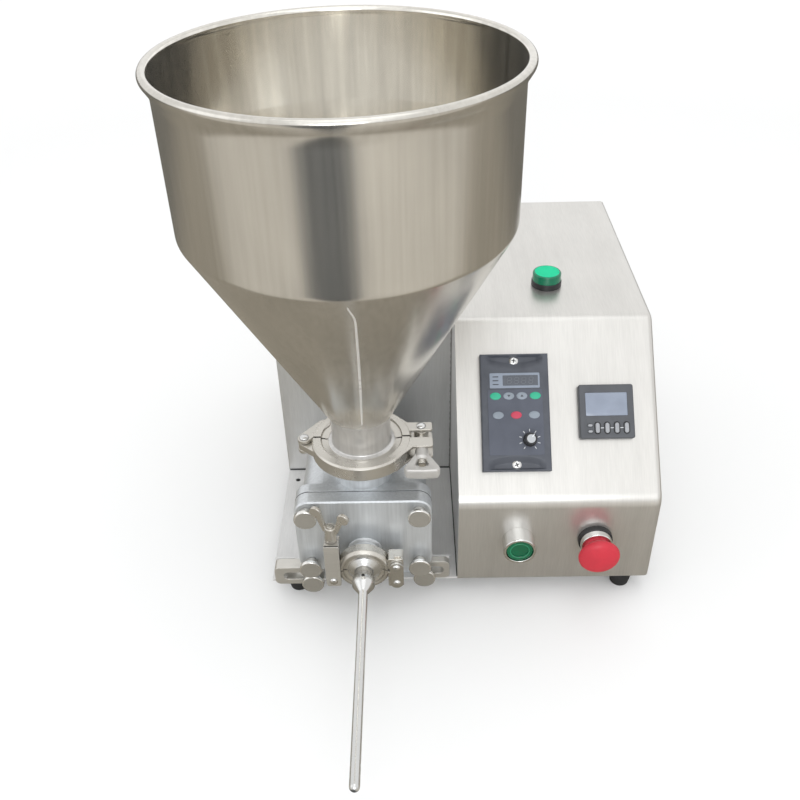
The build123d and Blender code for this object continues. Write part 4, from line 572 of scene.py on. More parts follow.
class Palette:
    """All materials, made once from their finishes."""

    WIPE_SCALE = 14.0
    HANDLING_SCALE = 60.0
    PIT_SCALE = 900.0
    WIPE_SPAN = (0.38, 0.68)
    WIPE_SHADE = 0.16
    WIPE_ROUGHNESS = 0.10
    MARK_ROUGHNESS = 0.08
    MARK_SPAN = (0.3, 0.7)
    RELIEF_STRENGTH = 0.35
    RELIEF_DEPTH = 0.0004
    METALS: dict[str, Metal] = {
        "case": Metal((0.655, 0.64, 0.61), 0.28, BRUSHED, 0.01, 0.2, bare=0.80),
        # Recess and rear wall are lighter, more diffuse copies of the case steel: painted light that lifts
        # the shade in the recess.
        "recess": Metal((0.73, 0.725, 0.715), 0.36, BRUSHED, 0.01, 0.35, bare=0.32),
        "rear_wall_lightened": Metal((0.68, 0.68, 0.67), 0.34, BRUSHED, 0.01, 0.35, bare=0.72),
        "hopper": Metal((0.66, 0.635, 0.585), 0.17, (260.0, 260.0, 9.0), 0.003, 0.35, bare=0.94, streak=0.09),
        "hopper_neck": Metal(
            (0.66, 0.65, 0.635), 0.28, (300.0, 300.0, 12.0), 0.01, 0.35, bare=0.8, streak=0.14
        ),
        # The inside is a lighter copy of the hopper's steel: painted light that lifts the shade of its inner
        # reflections.
        "hopper_inside_lightened": Metal(
            (0.76, 0.735, 0.68), 0.09, (120.0, 120.0, 6.0), 0.0, 0.4, bare=0.96, streak=0.2
        ),
        "seam": Metal((0.76, 0.74, 0.70), 0.24, (200.0, 200.0, 500.0), 0.02, 0.4, bare=0.5),
        "weld": Metal((0.30, 0.295, 0.28), 0.45, (400.0, 400.0, 400.0), 0.2, 0.6, 0.5, bare=0.7),
        "pump": Metal((0.68, 0.705, 0.725), 0.32, (420.0, 420.0, 25.0), 0.012, 0.5, bare=0.62, streak=0.13),
        "cast": Metal((0.60, 0.575, 0.525), 0.22, ALL_WAYS, 0.012, 0.4, bare=0.87, streak=0.015),
        "rough_cast": Metal((0.62, 0.605, 0.58), 0.42, ALL_WAYS, 0.05, 0.5, 0.8, bare=0.6),
        "disc": Metal((0.55, 0.535, 0.50), 0.30, LATHE, 0.03, 0.4, bare=0.8, grain=Grain.SURFACE),
        # The discs' rims take a much lighter finish: a painted highlight.
        "disc_rim_highlight": Metal((0.84, 0.83, 0.80), 0.12, LATHE, 0.02, 0.3, bare=0.9, grain=Grain.SURFACE),
        "turned": Metal(
            (0.68, 0.68, 0.67), 0.16, (10.0, 2500.0, 1.0), 0.02, 0.4, bare=0.95, grain=Grain.SURFACE
        ),
        "chrome": Metal((0.78, 0.78, 0.77), 0.07, (30.0, 30.0, 400.0), 0.01, 0.3),
        "strap": Metal((0.66, 0.64, 0.595), 0.27, (60.0, 60.0, 900.0), 0.02, 0.5, bare=0.75),
        "fastener": Metal((0.74, 0.74, 0.73), 0.16, ALL_WAYS, 0.03, 0.5),
        "drive": Metal((0.50, 0.50, 0.50), 0.3, ROUND_SHAFT, 0.05, 0.4),
        "alloy": Metal((0.58, 0.58, 0.59), 0.42, ALL_WAYS, 0.05, 0.4, 0.7),
        "bronze": Metal((0.60, 0.43, 0.18), 0.3, ROUND_SHAFT, 0.05, 0.4),
    }
    PLASTICS: dict[str, Plastic] = {
        "foot_rubber": Plastic((0.022, 0.022, 0.023), 0.62, 1800.0, 0.25, 0.3),
        "seal_rubber": Plastic((0.05, 0.052, 0.055), 0.55, 1500.0, 0.1, 0.2),
        "black": Plastic((0.018, 0.018, 0.02), 0.36, 2600.0, 0.1, 0.3),
        "knob_face": Plastic((0.50, 0.52, 0.54), 0.35, 2600.0, 0.05, 0.1),
        # The lamp's lens and drum glow faintly: painted light that brightens the lamp.
        "lamp_lens": Plastic((0.0, 0.50, 0.25), 0.30, 900.0, 0.02, 0.12, shine=0.12, glow=0.30),
        "lamp_edge": Plastic((0.0, 0.20, 0.10), 0.14, 900.0, 0.02, 0.25, 0.2, clear=0.2, glow=0.05),
        "start_cap": Plastic((0.0, 0.15, 0.065), 0.10, 900.0, 0.02, 0.3, 0.5, clear=0.25),
        "start_ring": Plastic((0.015, 0.23, 0.11), 0.16, 900.0, 0.02, 0.3, 0.4),
        "stop_red": Plastic((0.56, 0.03, 0.05), 0.34, 2200.0, 0.04, 0.12, 0.05, shine=0.35),
        "controller": Plastic((0.075, 0.082, 0.10), 0.40, 2800.0, 0.18, 0.18),
        "overlay": Plastic((0.085, 0.095, 0.125), 0.42, 3500.0, 0.06, 0.12),
        "timer": Plastic((0.085, 0.09, 0.10), 0.42, 2800.0, 0.15, 0.15),
        "frame_light": Plastic((0.27, 0.31, 0.38), 0.35, 2500.0, 0.03, 0.1),
        "window_dark": Plastic((0.07, 0.08, 0.10), 0.10, 800.0, 0.0, 0.2, 0.5),
        "segment": Plastic((0.11, 0.12, 0.14), 0.3, 2500.0, 0.0, 0.2),
        "screen": Plastic((0.26, 0.30, 0.38), 0.16, 700.0, 0.0, 0.12, 0.4),
        "key_grey": Plastic((0.27, 0.31, 0.36), 0.38, 2500.0, 0.04, 0.1),
        "key_green": Plastic((0.03, 0.44, 0.26), 0.36, 2500.0, 0.04, 0.15),
        "key_red": Plastic((0.58, 0.05, 0.10), 0.36, 2500.0, 0.04, 0.12),
        "print_white": Plastic((0.80, 0.82, 0.84), 0.45, 2500.0, 0.0, 0.08),
        "print_dark": Plastic((0.05, 0.055, 0.065), 0.45, 2500.0, 0.0, 0.1),
        # Dark joint lines, and dark marks that paint the shade in holes, cross recesses and the gaps round
        # rockers.
        "recess_dark": Plastic((0.02, 0.02, 0.02), 0.6, 2500.0, 0.1, 0.2),
        "rocker": Plastic((0.38, 0.39, 0.41), 0.38, 2500.0, 0.05, 0.1),
        "motor_paint": Plastic((0.10, 0.11, 0.12), 0.45, 900.0, 0.2, 0.2),
    }

    def __init__(self) -> None:
        """Makes the shared effects and every material."""
        self.marks = self._marks_group()
        self.patches = self._patches_group()
        self.pits = self._pits_group()
        self.materials: dict[str, bpy.types.Material] = {}
        for name, metal in self.METALS.items():
            self.materials[name] = self._metal(name, metal)
        for name, plastic in self.PLASTICS.items():
            self.materials[name] = self._plastic(name, plastic)
        LOG.info("made %d materials", len(self.materials))

    def __getitem__(self, name: str) -> bpy.types.Material:
        """Gives the material of a finish by its name."""
        return self.materials[name]

    @staticmethod
    def _group(
        name: str, inputs: dict[str, str], output: str
    ) -> tuple[bpy.types.NodeTree, Nodes, dict[str, bpy.types.NodeSocket]]:
        """Starts a shared effect.

        Args:
            name: Its name.
            inputs: Kind of each input.
            output: Name of its value output.

        Returns:
            The group, its node maker and the sockets of its inputs.
        """
        group = bpy.data.node_groups.new(name, "ShaderNodeTree")
        for socket, kind in inputs.items():
            group.interface.new_socket(socket, in_out="INPUT", socket_type="NodeSocket" + kind)
        group.interface.new_socket(output, in_out="OUTPUT", socket_type="NodeSocketFloat")
        nodes = Nodes(group)
        source = nodes.add("NodeGroupInput")
        return group, nodes, {socket: source.outputs[socket] for socket in inputs}

    def _marks_group(self) -> bpy.types.NodeTree:
        """Brush or lathe marks: a noise drawn out along the finish's lines.

        Returns:
            Group from Vector and Stretch to Height.
        """
        group, nodes, inputs = self._group("drawn marks", {"Vector": "Vector", "Stretch": "Vector"}, "Height")
        pair = {0: inputs["Vector"], 1: inputs["Stretch"]}
        drawn = nodes.add("ShaderNodeVectorMath", pair, operation="MULTIPLY").outputs[0]
        fine = nodes.add("ShaderNodeTexNoise", {"Vector": drawn, "Scale": 1.0, "Detail": 3.0})
        wide = nodes.add("ShaderNodeTexNoise", {"Vector": drawn, "Scale": 0.11, "Detail": 1.0})
        nodes.add("NodeGroupOutput", {"Height": nodes.mix(0.4, fine.outputs["Fac"], wide.outputs["Fac"])})
        return group

    def _patches_group(self) -> bpy.types.NodeTree:
        """Soft patches left by wiping and hands: a warped noise, its middle range spread to full contrast.

        Returns:
            Group from Vector and Scale to Mask.
        """
        group, nodes, inputs = self._group("wiped patches", {"Vector": "Vector", "Scale": "Float"}, "Mask")
        wide = nodes.add("ShaderNodeTexNoise", {**inputs, "Detail": 4.0, "Distortion": 0.6})
        mask = nodes.span(wide.outputs["Fac"], self.WIPE_SPAN, (0.0, 1.0))
        nodes.add("NodeGroupOutput", {"Mask": mask})
        return group

    def _pits_group(self) -> bpy.types.NodeTree:
        """Fine skin of a casting, moulding or rubber: rounded cells mixed evenly with a noise of their size.

        Returns:
            Group from Vector and Scale to Height.
        """
        group, nodes, inputs = self._group("skin cells", {"Vector": "Vector", "Scale": "Float"}, "Height")
        cells = nodes.add("ShaderNodeTexVoronoi", inputs, feature="SMOOTH_F1")
        rough = nodes.add("ShaderNodeTexNoise", {**inputs, "Detail": 2.0})
        height = nodes.mix(0.5, cells.outputs["Distance"], rough.outputs["Fac"])
        nodes.add("NodeGroupOutput", {"Height": height})
        return group

    @staticmethod
    def start(name: str) -> tuple[bpy.types.Material, Nodes, bpy.types.Node, bpy.types.Node]:
        """Starts a material.

        Args:
            name: Its name.

        Returns:
            The material, its node maker, its surface node and its coordinates.
        """
        material = bpy.data.materials.new(name)
        material.use_nodes = True
        nodes = Nodes(material.node_tree)
        surface = material.node_tree.nodes["Principled BSDF"]
        return material, nodes, surface, nodes.add("ShaderNodeTexCoord")

    def _metal(self, name: str, finish: Metal) -> bpy.types.Material:
        """Makes a bare metal.

        Args:
            name: Material name.
            finish: Its finish.

        Returns:
            The material.
        """
        material, nodes, surface, where = self.start(name)
        spot = where.outputs["Object"]
        lines = where.outputs["UV"] if finish.grain is Grain.SURFACE else spot
        marks = nodes.use(self.marks, {"Vector": lines, "Stretch": finish.stretch})
        patches = nodes.use(self.patches, {"Vector": spot, "Scale": self.WIPE_SCALE})
        cells = nodes.use(self.pits, {"Vector": spot, "Scale": self.PIT_SCALE})
        wear = nodes.span(patches, (0.0, 1.0), (1.0, 1.0 - self.WIPE_SHADE * finish.smudge))
        shade = nodes.span(marks, self.MARK_SPAN, (1.0 - finish.streak, 1.0 + finish.streak))
        colour = nodes.tint_socket(nodes.tint(finish.colour, wear), shade)
        rough = nodes.maths("MULTIPLY_ADD", patches, self.WIPE_ROUGHNESS * finish.smudge, finish.roughness)
        rough = nodes.maths("MULTIPLY_ADD", marks, self.MARK_ROUGHNESS, rough)
        relief = nodes.maths("MULTIPLY", marks, finish.marks)
        relief = nodes.maths("MULTIPLY_ADD", cells, finish.pits, relief)
        normal = nodes.relief(relief, self.RELIEF_STRENGTH, self.RELIEF_DEPTH)
        nodes.feed(
            surface, {"Base Color": colour, "Roughness": rough, "Normal": normal, "Metallic": finish.bare}
        )
        return material

    def _plastic(self, name: str, finish: Plastic) -> bpy.types.Material:
        """Makes a moulded plastic or rubber.

        Args:
            name: Material name.
            finish: Its finish.

        Returns:
            The material.
        """
        material, nodes, surface, where = self.start(name)
        spot = where.outputs["Object"]
        patches = nodes.use(self.patches, {"Vector": spot, "Scale": self.HANDLING_SCALE})
        cells = nodes.use(self.pits, {"Vector": spot, "Scale": finish.texture})
        shade = nodes.span(patches, (0.0, 1.0), (1.0 + finish.tint / 2.0, 1.0 - finish.tint / 2.0))
        colour = nodes.tint(finish.colour, shade)
        nodes.feed(
            surface,
            {
                "Base Color": colour,
                "Roughness": nodes.maths("MULTIPLY_ADD", patches, self.WIPE_ROUGHNESS, finish.roughness),
                "Normal": nodes.relief(cells, finish.relief, self.RELIEF_DEPTH),
                "Coat Weight": finish.coat,
                "Specular IOR Level": finish.shine,
                "Transmission Weight": finish.clear,
            },
        )
        if finish.glow > 0.0:
            nodes.feed(surface, {"Emission Color": colour, "Emission Strength": finish.glow})
        return material


class Nodes:
    """Adds shader nodes to a tree and links them."""

    def __init__(self, tree: bpy.types.NodeTree) -> None:
        """Keeps the tree to which nodes are added."""
        self.tree = tree

    def feed(self, node: bpy.types.Node, inputs: dict) -> None:
        """Sets or links inputs of a node.

        Args:
            node: The node.
            inputs: Value or socket for each input.
        """
        for key, value in inputs.items():
            if isinstance(value, bpy.types.NodeSocket):
                self.tree.links.new(value, node.inputs[key])
            else:
                node.inputs[key].default_value = value

    def add(self, kind: str, inputs: dict | None = None, **settings: object) -> bpy.types.Node:
        """Adds a node.

        Args:
            kind: Node type.
            inputs: Value or socket for each input.
            **settings: Properties of the node.

        Returns:
            The node.
        """
        node = self.tree.nodes.new(kind)
        for key, value in settings.items():
            setattr(node, key, value)
        self.feed(node, inputs or {})
        return node

    def use(self, group: bpy.types.NodeTree, inputs: dict) -> bpy.types.NodeSocket:
        """Adds a shared effect and gives its output."""
        return self.add("ShaderNodeGroup", inputs, node_tree=group).outputs[0]

    def maths(self, operation: str, *terms: object) -> bpy.types.NodeSocket:
        """Works out an operation on values or sockets."""
        return self.add("ShaderNodeMath", dict(enumerate(terms)), operation=operation).outputs[0]

    def relief(self, height: bpy.types.NodeSocket, strength: float, depth: float) -> bpy.types.NodeSocket:
        """Normal of a surface raised by a height."""
        bump = self.add("ShaderNodeBump", {"Height": height, "Strength": strength, "Distance": depth})
        return bump.outputs["Normal"]

    def mix(self, share: object, first: object, second: object) -> bpy.types.NodeSocket:
        """Mixes two values by the share of the second."""
        return self.add("ShaderNodeMix", {0: share, 2: first, 3: second}, data_type="FLOAT").outputs[0]

    def mix_colour(self, share: object, first: object, second: object) -> bpy.types.NodeSocket:
        """Mixes two colours, given as such or as sockets, by the share of the second."""
        pair = [(*colour, 1.0) if isinstance(colour, tuple) else colour for colour in (first, second)]
        return self.add("ShaderNodeMix", {0: share, 6: pair[0], 7: pair[1]}, data_type="RGBA").outputs[2]

    def span(self, value: object, source: Point, target: Point) -> bpy.types.NodeSocket:
        """Maps one range of values to another, held at its ends."""
        ends = {1: source[0], 2: source[1], 3: target[0], 4: target[1]}
        return self.add("ShaderNodeMapRange", {0: value, **ends}).outputs[0]

    def tint(self, colour: Colour, factor: object) -> bpy.types.NodeSocket:
        """Colour made lighter or darker by a factor.

        Args:
            colour: The colour.
            factor: Value or socket.

        Returns:
            The shaded colour.
        """
        base = self.add("ShaderNodeRGB")
        base.outputs[0].default_value = (*colour, 1.0)
        return self.tint_socket(base.outputs[0], factor)

    def tint_socket(self, colour: bpy.types.NodeSocket, factor: object) -> bpy.types.NodeSocket:
        """Linked colour made lighter or darker by a factor."""
        return self.add("ShaderNodeVectorMath", {0: colour, "Scale": factor}, operation="SCALE").outputs[0]


# Workshop

class Workshop:
    """Turns skins into placed pieces and dresses the frame's own nodes."""

    def __init__(self, frame: dict, palette: Palette, control_width: float) -> None:
        """Finds the working datum in the frame.

        Args:
            palette: The materials.
            control_width: Width of the control box, whose right wall is the case's outermost.
        """
        self.frame = frame
        self.palette = palette
        low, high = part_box("housing_shell")
        self.zero = np.array([high.x - control_width * METRES, low.y, low.z])
        record = frame["record"]
        bodies = record["behaviour"]["bodies"]
        self.body_of = {node: body for body, nodes in bodies.items() for node in nodes}
        self.slot_of = {part["node"]: part["material_slot"] for part in record["subparts"]}
        self.dressed: set[str] = set()

    def make(
        self,
        name: str,
        skin: Skin,
        place: Array,
        finish: str | Sequence[str],
        node: str,
        replaces: bool = True,
        closed: bool = True,
    ) -> bpy.types.Object:
        """Makes a piece that stands for a node or lies on it.

        Args:
            name: The piece's name.
            skin: Its surface.
            place: Where its own axes lie in the machine.
            finish: Name of its finish, or one for each of its slots.
            node: The node whose body it rides on and whose slot it takes.
            replaces: Whether that node is hidden.
            closed: Whether its surface is closed.

        Returns:
            The piece.
        """
        to_metres = place.copy()
        to_metres[:3] *= METRES
        to_metres[:3, 3] += self.zero
        piece = bpy.data.objects.new(name, skin.mesh(name, to_metres, closed))
        bpy.context.scene.collection.objects.link(piece)
        for entry in [finish] if isinstance(finish, str) else finish:
            piece.data.materials.append(self.palette[entry])
        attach(piece, self.body_of[node])
        if replaces:
            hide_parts(node)
            self.dressed.add(node)
        LOG.info("%s: %d faces", name, len(piece.data.polygons))
        return piece

    def dress(self, finish: str, *nodes: str, edge: float = 0.0, flat: bool = False) -> None:
        """Gives the frame's own nodes a finish, smooth curves and softened edges.

        Args:
            finish: Name of the finish.
            *nodes: The nodes.
            edge: Width of the softened edges in millimetres, at least LEAST_EDGE.
            flat: Whether its faces are shaded flat, as a sheet's are.
        """
        for name in nodes:
            node = self.frame["nodes"][name]
            node.data.materials.clear()
            node.data.materials.append(self.palette[finish])
            node.data.polygons.foreach_set("use_smooth", [not flat] * len(node.data.polygons))
            weld = node.modifiers.new("weld", "WELD")
            weld.merge_threshold = WELD_DISTANCE
            bevel = node.modifiers.new("edges", "BEVEL")
            bevel.width = max(edge, LEAST_EDGE) * METRES
            bevel.segments = 2
            bevel.limit_method = "ANGLE"
            bevel.angle_limit = SHARP_ANGLE
            bevel.harden_normals = not flat
            bevel.use_clamp_overlap = True
            self.dressed.add(name)

    def box(self, node: str) -> tuple[Array, Array]:
        """Lowest and highest corner of a node in the working datum."""
        low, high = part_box(node)
        return (np.array(low) - self.zero) / METRES, (np.array(high) - self.zero) / METRES

    def undressed(self) -> list[str]:
        """Names of the nodes that have no finish yet."""
        return sorted(set(self.frame["nodes"]) - self.dressed)


@dataclass
class Assembly:
    """Part of the machine, with its sizes in millimetres.

    Attributes:
        shop: The workshop that makes its pieces.
    """

    shop: Workshop

    @property
    def place(self) -> Array:
        """Where its own axes lie in the machine."""
        return DATUM

    def stand(
        self, name: str, skin: Skin, finish: str | Sequence[str], node: str, place: Array | None = None
    ) -> None:
        """Makes a piece that stands for a node, at the assembly's place unless another is given."""
        self.shop.make(name, skin, self.place if place is None else place, finish, node)

    def lay(self, name: str, skin: Skin, finish: str, node: str, place: Array | None = None) -> None:
        """Makes a piece that lies on a node, at the assembly's place unless another is given."""
        self.shop.make(name, skin, self.place if place is None else place, finish, node, replaces=False)


# Case

@dataclass
class Case(Assembly):
    """Folded stainless case with its base plate, rear panel, feet and mains inlet."""

    control_width: float = 178.0
    rear_width: float = 173.0
    depth: float = 363.0
    height: float = 212.0
    front_height: float = 94.0
    recess: float = 157.0
    sheet: float = 1.5
    bend: float = 5.0
    slope_bend: float = 12.0
    front_bend: float = 18.0
    rear_bend: float = 1.2
    base_sheet: float = 2.0
    foot_height: float = 20.0
    foot_radius: float = 11.2
    foot_toe: float = 8.5
    foot_pocket: float = 3.0
    pocket_top: float = -8.0
    joint: float = 0.9
    joint_width: float = 1.2
    joint_sink: float = 0.6
    joint_overlap: float = 0.3
    joint_end: float = 1.0
    drain: float = 2.4
    drain_margin: float = 11.0
    drain_y: float = 140.0
    drain_span: Point = (-1.0, 1.2)
    weld_radius: float = 1.1
    weld_ripple: float = 2.6
    weld_sink: float = 0.2
    weld_sway: tuple[Spot, ...] = ((0.18, 0.9, 0.0), (0.12, 2.3, 1.0))
    weld_rows: int = 420

    def build(self) -> None:
        """Makes the case's pieces."""
        self.shell()
        self.weld()
        self.feet()
        self.joints()
        # The base plate takes the recess finish, a lightened copy of the case steel: painted light that lifts
        # its shade.
        self.shop.dress("recess", "base_plate", edge=0.3, flat=True)
        self.shop.dress("case", "rear_panel", edge=0.3, flat=True)
        self.shop.dress("fastener", "panel_screws", edge=0.2)
        self.shop.dress("black", "power_inlet", edge=0.4)

    def folded(self, path: Array, x: Sequence[float], insets: Sequence[float], first: int = 0) -> Skin:
        """Sheet carried along a side profile: each profile point moves inward by the inset at that X.

        Args:
            path: Profile of (y, z) from the front's foot over the top to the rear.
            x: Places from left to right.
            insets: Inset of the profile at each of them.
            first: Material slot of the upright stretch before the first bend.

        Returns:
            An open skin, its faces outward.
        """
        along = np.gradient(path, axis=0)
        along /= np.linalg.norm(along, axis=1, keepdims=True)
        inward = np.stack([along[:, 1], -along[:, 0]], -1)
        x, insets = np.asarray(x, float), np.asarray(insets, float)
        flat = path[:, None] + inward[:, None] * insets[None, :, None]
        across = np.broadcast_to(x[None, :, None], flat.shape[:2] + (1,))
        skin = Skin().grid(np.concatenate([across, flat], -1))
        skin.slots = [first] * (len(x) - 1) + [0] * ((len(path) - 2) * (len(x) - 1))
        return skin

    def shell(self) -> None:
        """Control box and rear housing as one folded sheet, given its thickness inward."""
        run = (self.height - self.front_height) / math.tan(PANEL_TILT)
        top = (self.depth, self.height)
        slope = ((0.0, self.front_height, self.front_bend), (run, self.height, self.slope_bend))
        control = rounded(((0.0, 0.0), *slope, top), steps=12, hold=0.6)
        right = self.control_width
        turn = rounded(((0.0, 0.0), (0.0, right, self.bend), (2.0 * self.bend, right)), steps=8)
        skin = self.folded(control, turn[:, 1], turn[:, 0])
        edge = skin.points[0].reshape(len(control), -1, 3)[:, -1]
        skin.cap(np.concatenate([edge, [[right, self.depth, 0.0]]]))
        crest = np.array([[self.recess, self.height], [self.recess, 0.0]])
        flank = np.concatenate([control[control[:, 0] <= self.recess], crest])
        skin.cap(np.insert(flank, 0, 0.0, axis=1)[::-1], 1)
        foot, brow = (self.recess, 0.0), (self.recess, self.height, self.rear_bend)
        rear = rounded((foot, brow, top), steps=4, hold=0.6)
        left = -self.rear_width
        turn = rounded(((2.0 * self.rear_bend, left), (0.0, left, self.rear_bend), (0.0, 0.0)), steps=4)
        housing = self.folded(rear, turn[:, 1], turn[:, 0], 2)
        edge = housing.points[0].reshape(len(rear), -1, 3)[:, 0]
        housing.cap(np.concatenate([edge, [[left, self.depth, 0.0]]])[::-1])
        skin.join(housing)
        # Slots: case steel, then lightened copies of it for the recess side and the rear wall, painted light
        # that lifts their shade.
        finishes = ("case", "recess", "rear_wall_lightened")
        piece = self.shop.make("case_shell", skin, self.place, finishes, "housing_shell", closed=False)
        thick = piece.modifiers.new("sheet", "SOLIDIFY")
        thick.thickness = self.sheet * METRES
        thick.offset = -1.0

    def weld(self) -> None:
        """Weld bead up the recess corner: a round section along a wavering line.

        Its radius rises and falls with the sine of the height at each ripple, and slowly over several.
        """
        z = np.linspace(self.base_sheet, self.height - self.rear_bend, self.weld_rows)
        ripple = np.abs(np.sin(z / self.weld_ripple * math.pi)) ** 0.6
        sway = sum(reach * np.sin(z * rate + lag) for reach, rate, lag in self.weld_sway)
        radius = self.weld_radius * (0.8 + 0.35 * ripple + 0.1 * np.sin(z * 0.37))
        path = np.stack([sway - self.weld_sink, self.recess - self.weld_sink + 0.5 * sway, z], -1)
        self.lay("case_weld", tube(path, radius, 14), "weld", "housing_shell")

    def joints(self) -> None:
        """Dark lines where the base plate meets the recess walls, and a dark disc in its drain hole that
        paints the shade inside it, as flat bars.
        """
        low, high = self.base_sheet - self.joint_sink, self.base_sheet + self.joint
        spans = self.rear_width - 2.0 * self.joint_end, self.recess - 2.0 * self.joint_end
        behind = (-self.rear_width / 2.0, self.recess - self.joint_overlap)
        beside = (-self.joint_overlap, self.recess / 2.0)
        skin = slab(rectangle(spans[0], self.joint_width, 0.3, behind), low, high, 0.1)
        skin.join(slab(rectangle(self.joint_width, spans[1], 0.3, beside), low, high, 0.1))
        # Painted shade: a dark disc in the drain hole.
        drain = ellipse(self.drain, self.drain, 32, (self.drain_margin - self.rear_width, self.drain_y))
        skin.join(slab(drain, *self.drain_span, 0.1))
        self.lay("base_joints", skin, "recess_dark", "base_plate")

    def feet(self) -> None:
        """Tapered rubber feet with a screw pocket."""
        low, high = self.shop.box("rubber_feet")
        wide = self.foot_radius
        profile = (
            (0.0, self.pocket_top),
            (self.foot_pocket, self.pocket_top, 0.3),
            (self.foot_pocket, -self.foot_height, 0.3),
            (self.foot_toe, -self.foot_height, 0.8),
            (wide, -self.foot_height / 4.0, 1.0),
            (wide, 0.0, 0.4),
            (0.0, 0.0),
        )
        foot = turned(profile, 64, steps=4)
        skin = Skin()
        for x in (low[0] + wide, high[0] - wide):
            for y in (low[1] + wide, high[1] - wide):
                skin.join(foot, at(x, y, 0.0))
        self.stand("rubber_feet_skin", skin, "foot_rubber", "rubber_feet")


# Hopper and its clamp

GASKET = 1.6
FERRULE_RIM = 2.8
FERRULE_SLOPE = 2.4
FERRULE_TAPER = 0.36
LEDGE_SHARE = 0.42


@dataclass
class Hopper(Assembly):
    """Spun hopper: ferrule, neck, cone, straight wall, flared top and rolled rim."""

    axis_x: float = -84.0
    axis_y: float = 31.0
    seat_z: float = 139.5
    radius: float = 124.9
    wall: float = 1.2
    cone_top: float = 355.0
    flare_z: float = 456.5
    lean_z: float = 400.0
    lip_start: float = -0.14 * math.pi
    lip_end: float = 1.15 * math.pi
    top: float = 470.3
    rim_radius: float = 127.4
    bead: float = 3.3
    neck_top: float = 171.0
    neck_ground: float = 6.0
    tube: float = 25.5
    tube_wall: float = 1.5
    ferrule: float = 32.0
    segments: int = 256
    rolled_spans: int = 9
    seam_half: float = 1.0
    seam_rise: float = 0.4
    seam_sink: float = 0.05
    seam_span: Point = (0.04, 0.93)
    seam_angle: float = math.radians(-84.0)
    seam_bend: float = 0.035
    seam_bend_length: float = 0.05
    seam_lean: float = 0.03

    def build(self) -> None:
        """Makes the hopper and its weld seam."""
        self.bowl()
        self.seam()

    @property
    def place(self) -> Array:
        """On the hopper's axis."""
        return at(self.axis_x, self.axis_y, 0.0)

    def bowl(self) -> None:
        """Outside and inside turned from one closed profile round the sheet's section."""
        base = self.seat_z + GASKET / 2.0
        bore = self.tube - self.tube_wall
        lean = self.wall * 1.2
        bead_z = self.top - self.bead
        lip = self.bead * math.cos(self.lip_start), self.bead * math.sin(self.lip_start)
        outside = (
            (bore, base),
            (self.ferrule, base, 0.4),
            (self.ferrule, base + FERRULE_RIM, 0.6),
            (self.tube, base + FERRULE_RIM + FERRULE_SLOPE, 1.5),
            (self.tube, self.neck_top, 34.0),
            (self.radius, self.cone_top, 9.0),
            (self.radius, self.flare_z, 20.0),
            (self.rim_radius + lip[0], bead_z + lip[1]),
        )
        swing = np.linspace(self.lip_start, self.lip_end, 28)[1:]
        rim = np.array([self.rim_radius, bead_z]) + sweep(swing, self.bead, self.bead)
        inside = (
            (self.rim_radius - lean - 1.0, bead_z - self.bead),
            (self.radius - lean, self.lean_z, 60.0),
            (self.radius - lean, self.cone_top, 9.0),
            (bore, self.neck_top, 32.0),
            (bore, base),
        )
        outside, inside = (rounded(corners, steps=12, hold=0.8) for corners in (outside, inside))
        profile = np.concatenate([outside, rim, inside])
        slots = np.where(outside[:, 1] < self.neck_top + self.neck_ground, 2, 0).tolist()
        slots += [0] * (len(rim) - self.rolled_spans) + [1] * (len(inside) + self.rolled_spans - 1)
        # Slot 1, the inside, takes the lightened copy of the hopper's steel, painted light.
        skin = revolved(profile, self.segments, slots=slots)
        self.stand("hopper_skin", skin, ("hopper", "hopper_inside_lightened", "hopper_neck"), "hopper")

    def seam(self) -> None:
        """Ground weld seam down the cone: a flat bead, its height falling to nothing at both sides and ends.

        A small ellipse is carried down the cone at a share of its slant; it fades at the ends with a low
        power of a half sine, and the line bends aside by a bell curve at its upper end.
        """
        first, last = self.seam_span
        share = np.linspace(first, last, 160)[:, None]
        turn = np.linspace(0.0, FULL_TURN, 17)[None]
        widening, rise = self.radius - self.tube, self.cone_top - self.neck_top
        slope = math.atan2(widening, rise)
        fade = np.sin(math.pi * (share - first) / (last - first)).clip(0.0) ** 0.35
        proud = self.seam_rise * fade * np.sin(turn) - self.seam_sink
        reach = self.tube + widening * (1.0 - share) + proud * math.cos(slope)
        bend = self.seam_bend * np.exp(-((share - first) / self.seam_bend_length) ** 2)
        bend = bend + self.seam_lean * (1.0 - share)
        half = self.seam_half * (0.35 + 0.65 * fade)
        angle = self.seam_angle - bend + half * np.cos(turn) / reach
        height = self.neck_top + rise * (1.0 - share) - proud * math.sin(slope)
        points = np.stack([reach * np.cos(angle), reach * np.sin(angle), height], -1)
        skin = Skin().grid(points).cap(points[0, -2::-1]).cap(points[-1, :-1])
        self.lay("hopper_seam", skin, "seam", "hopper")


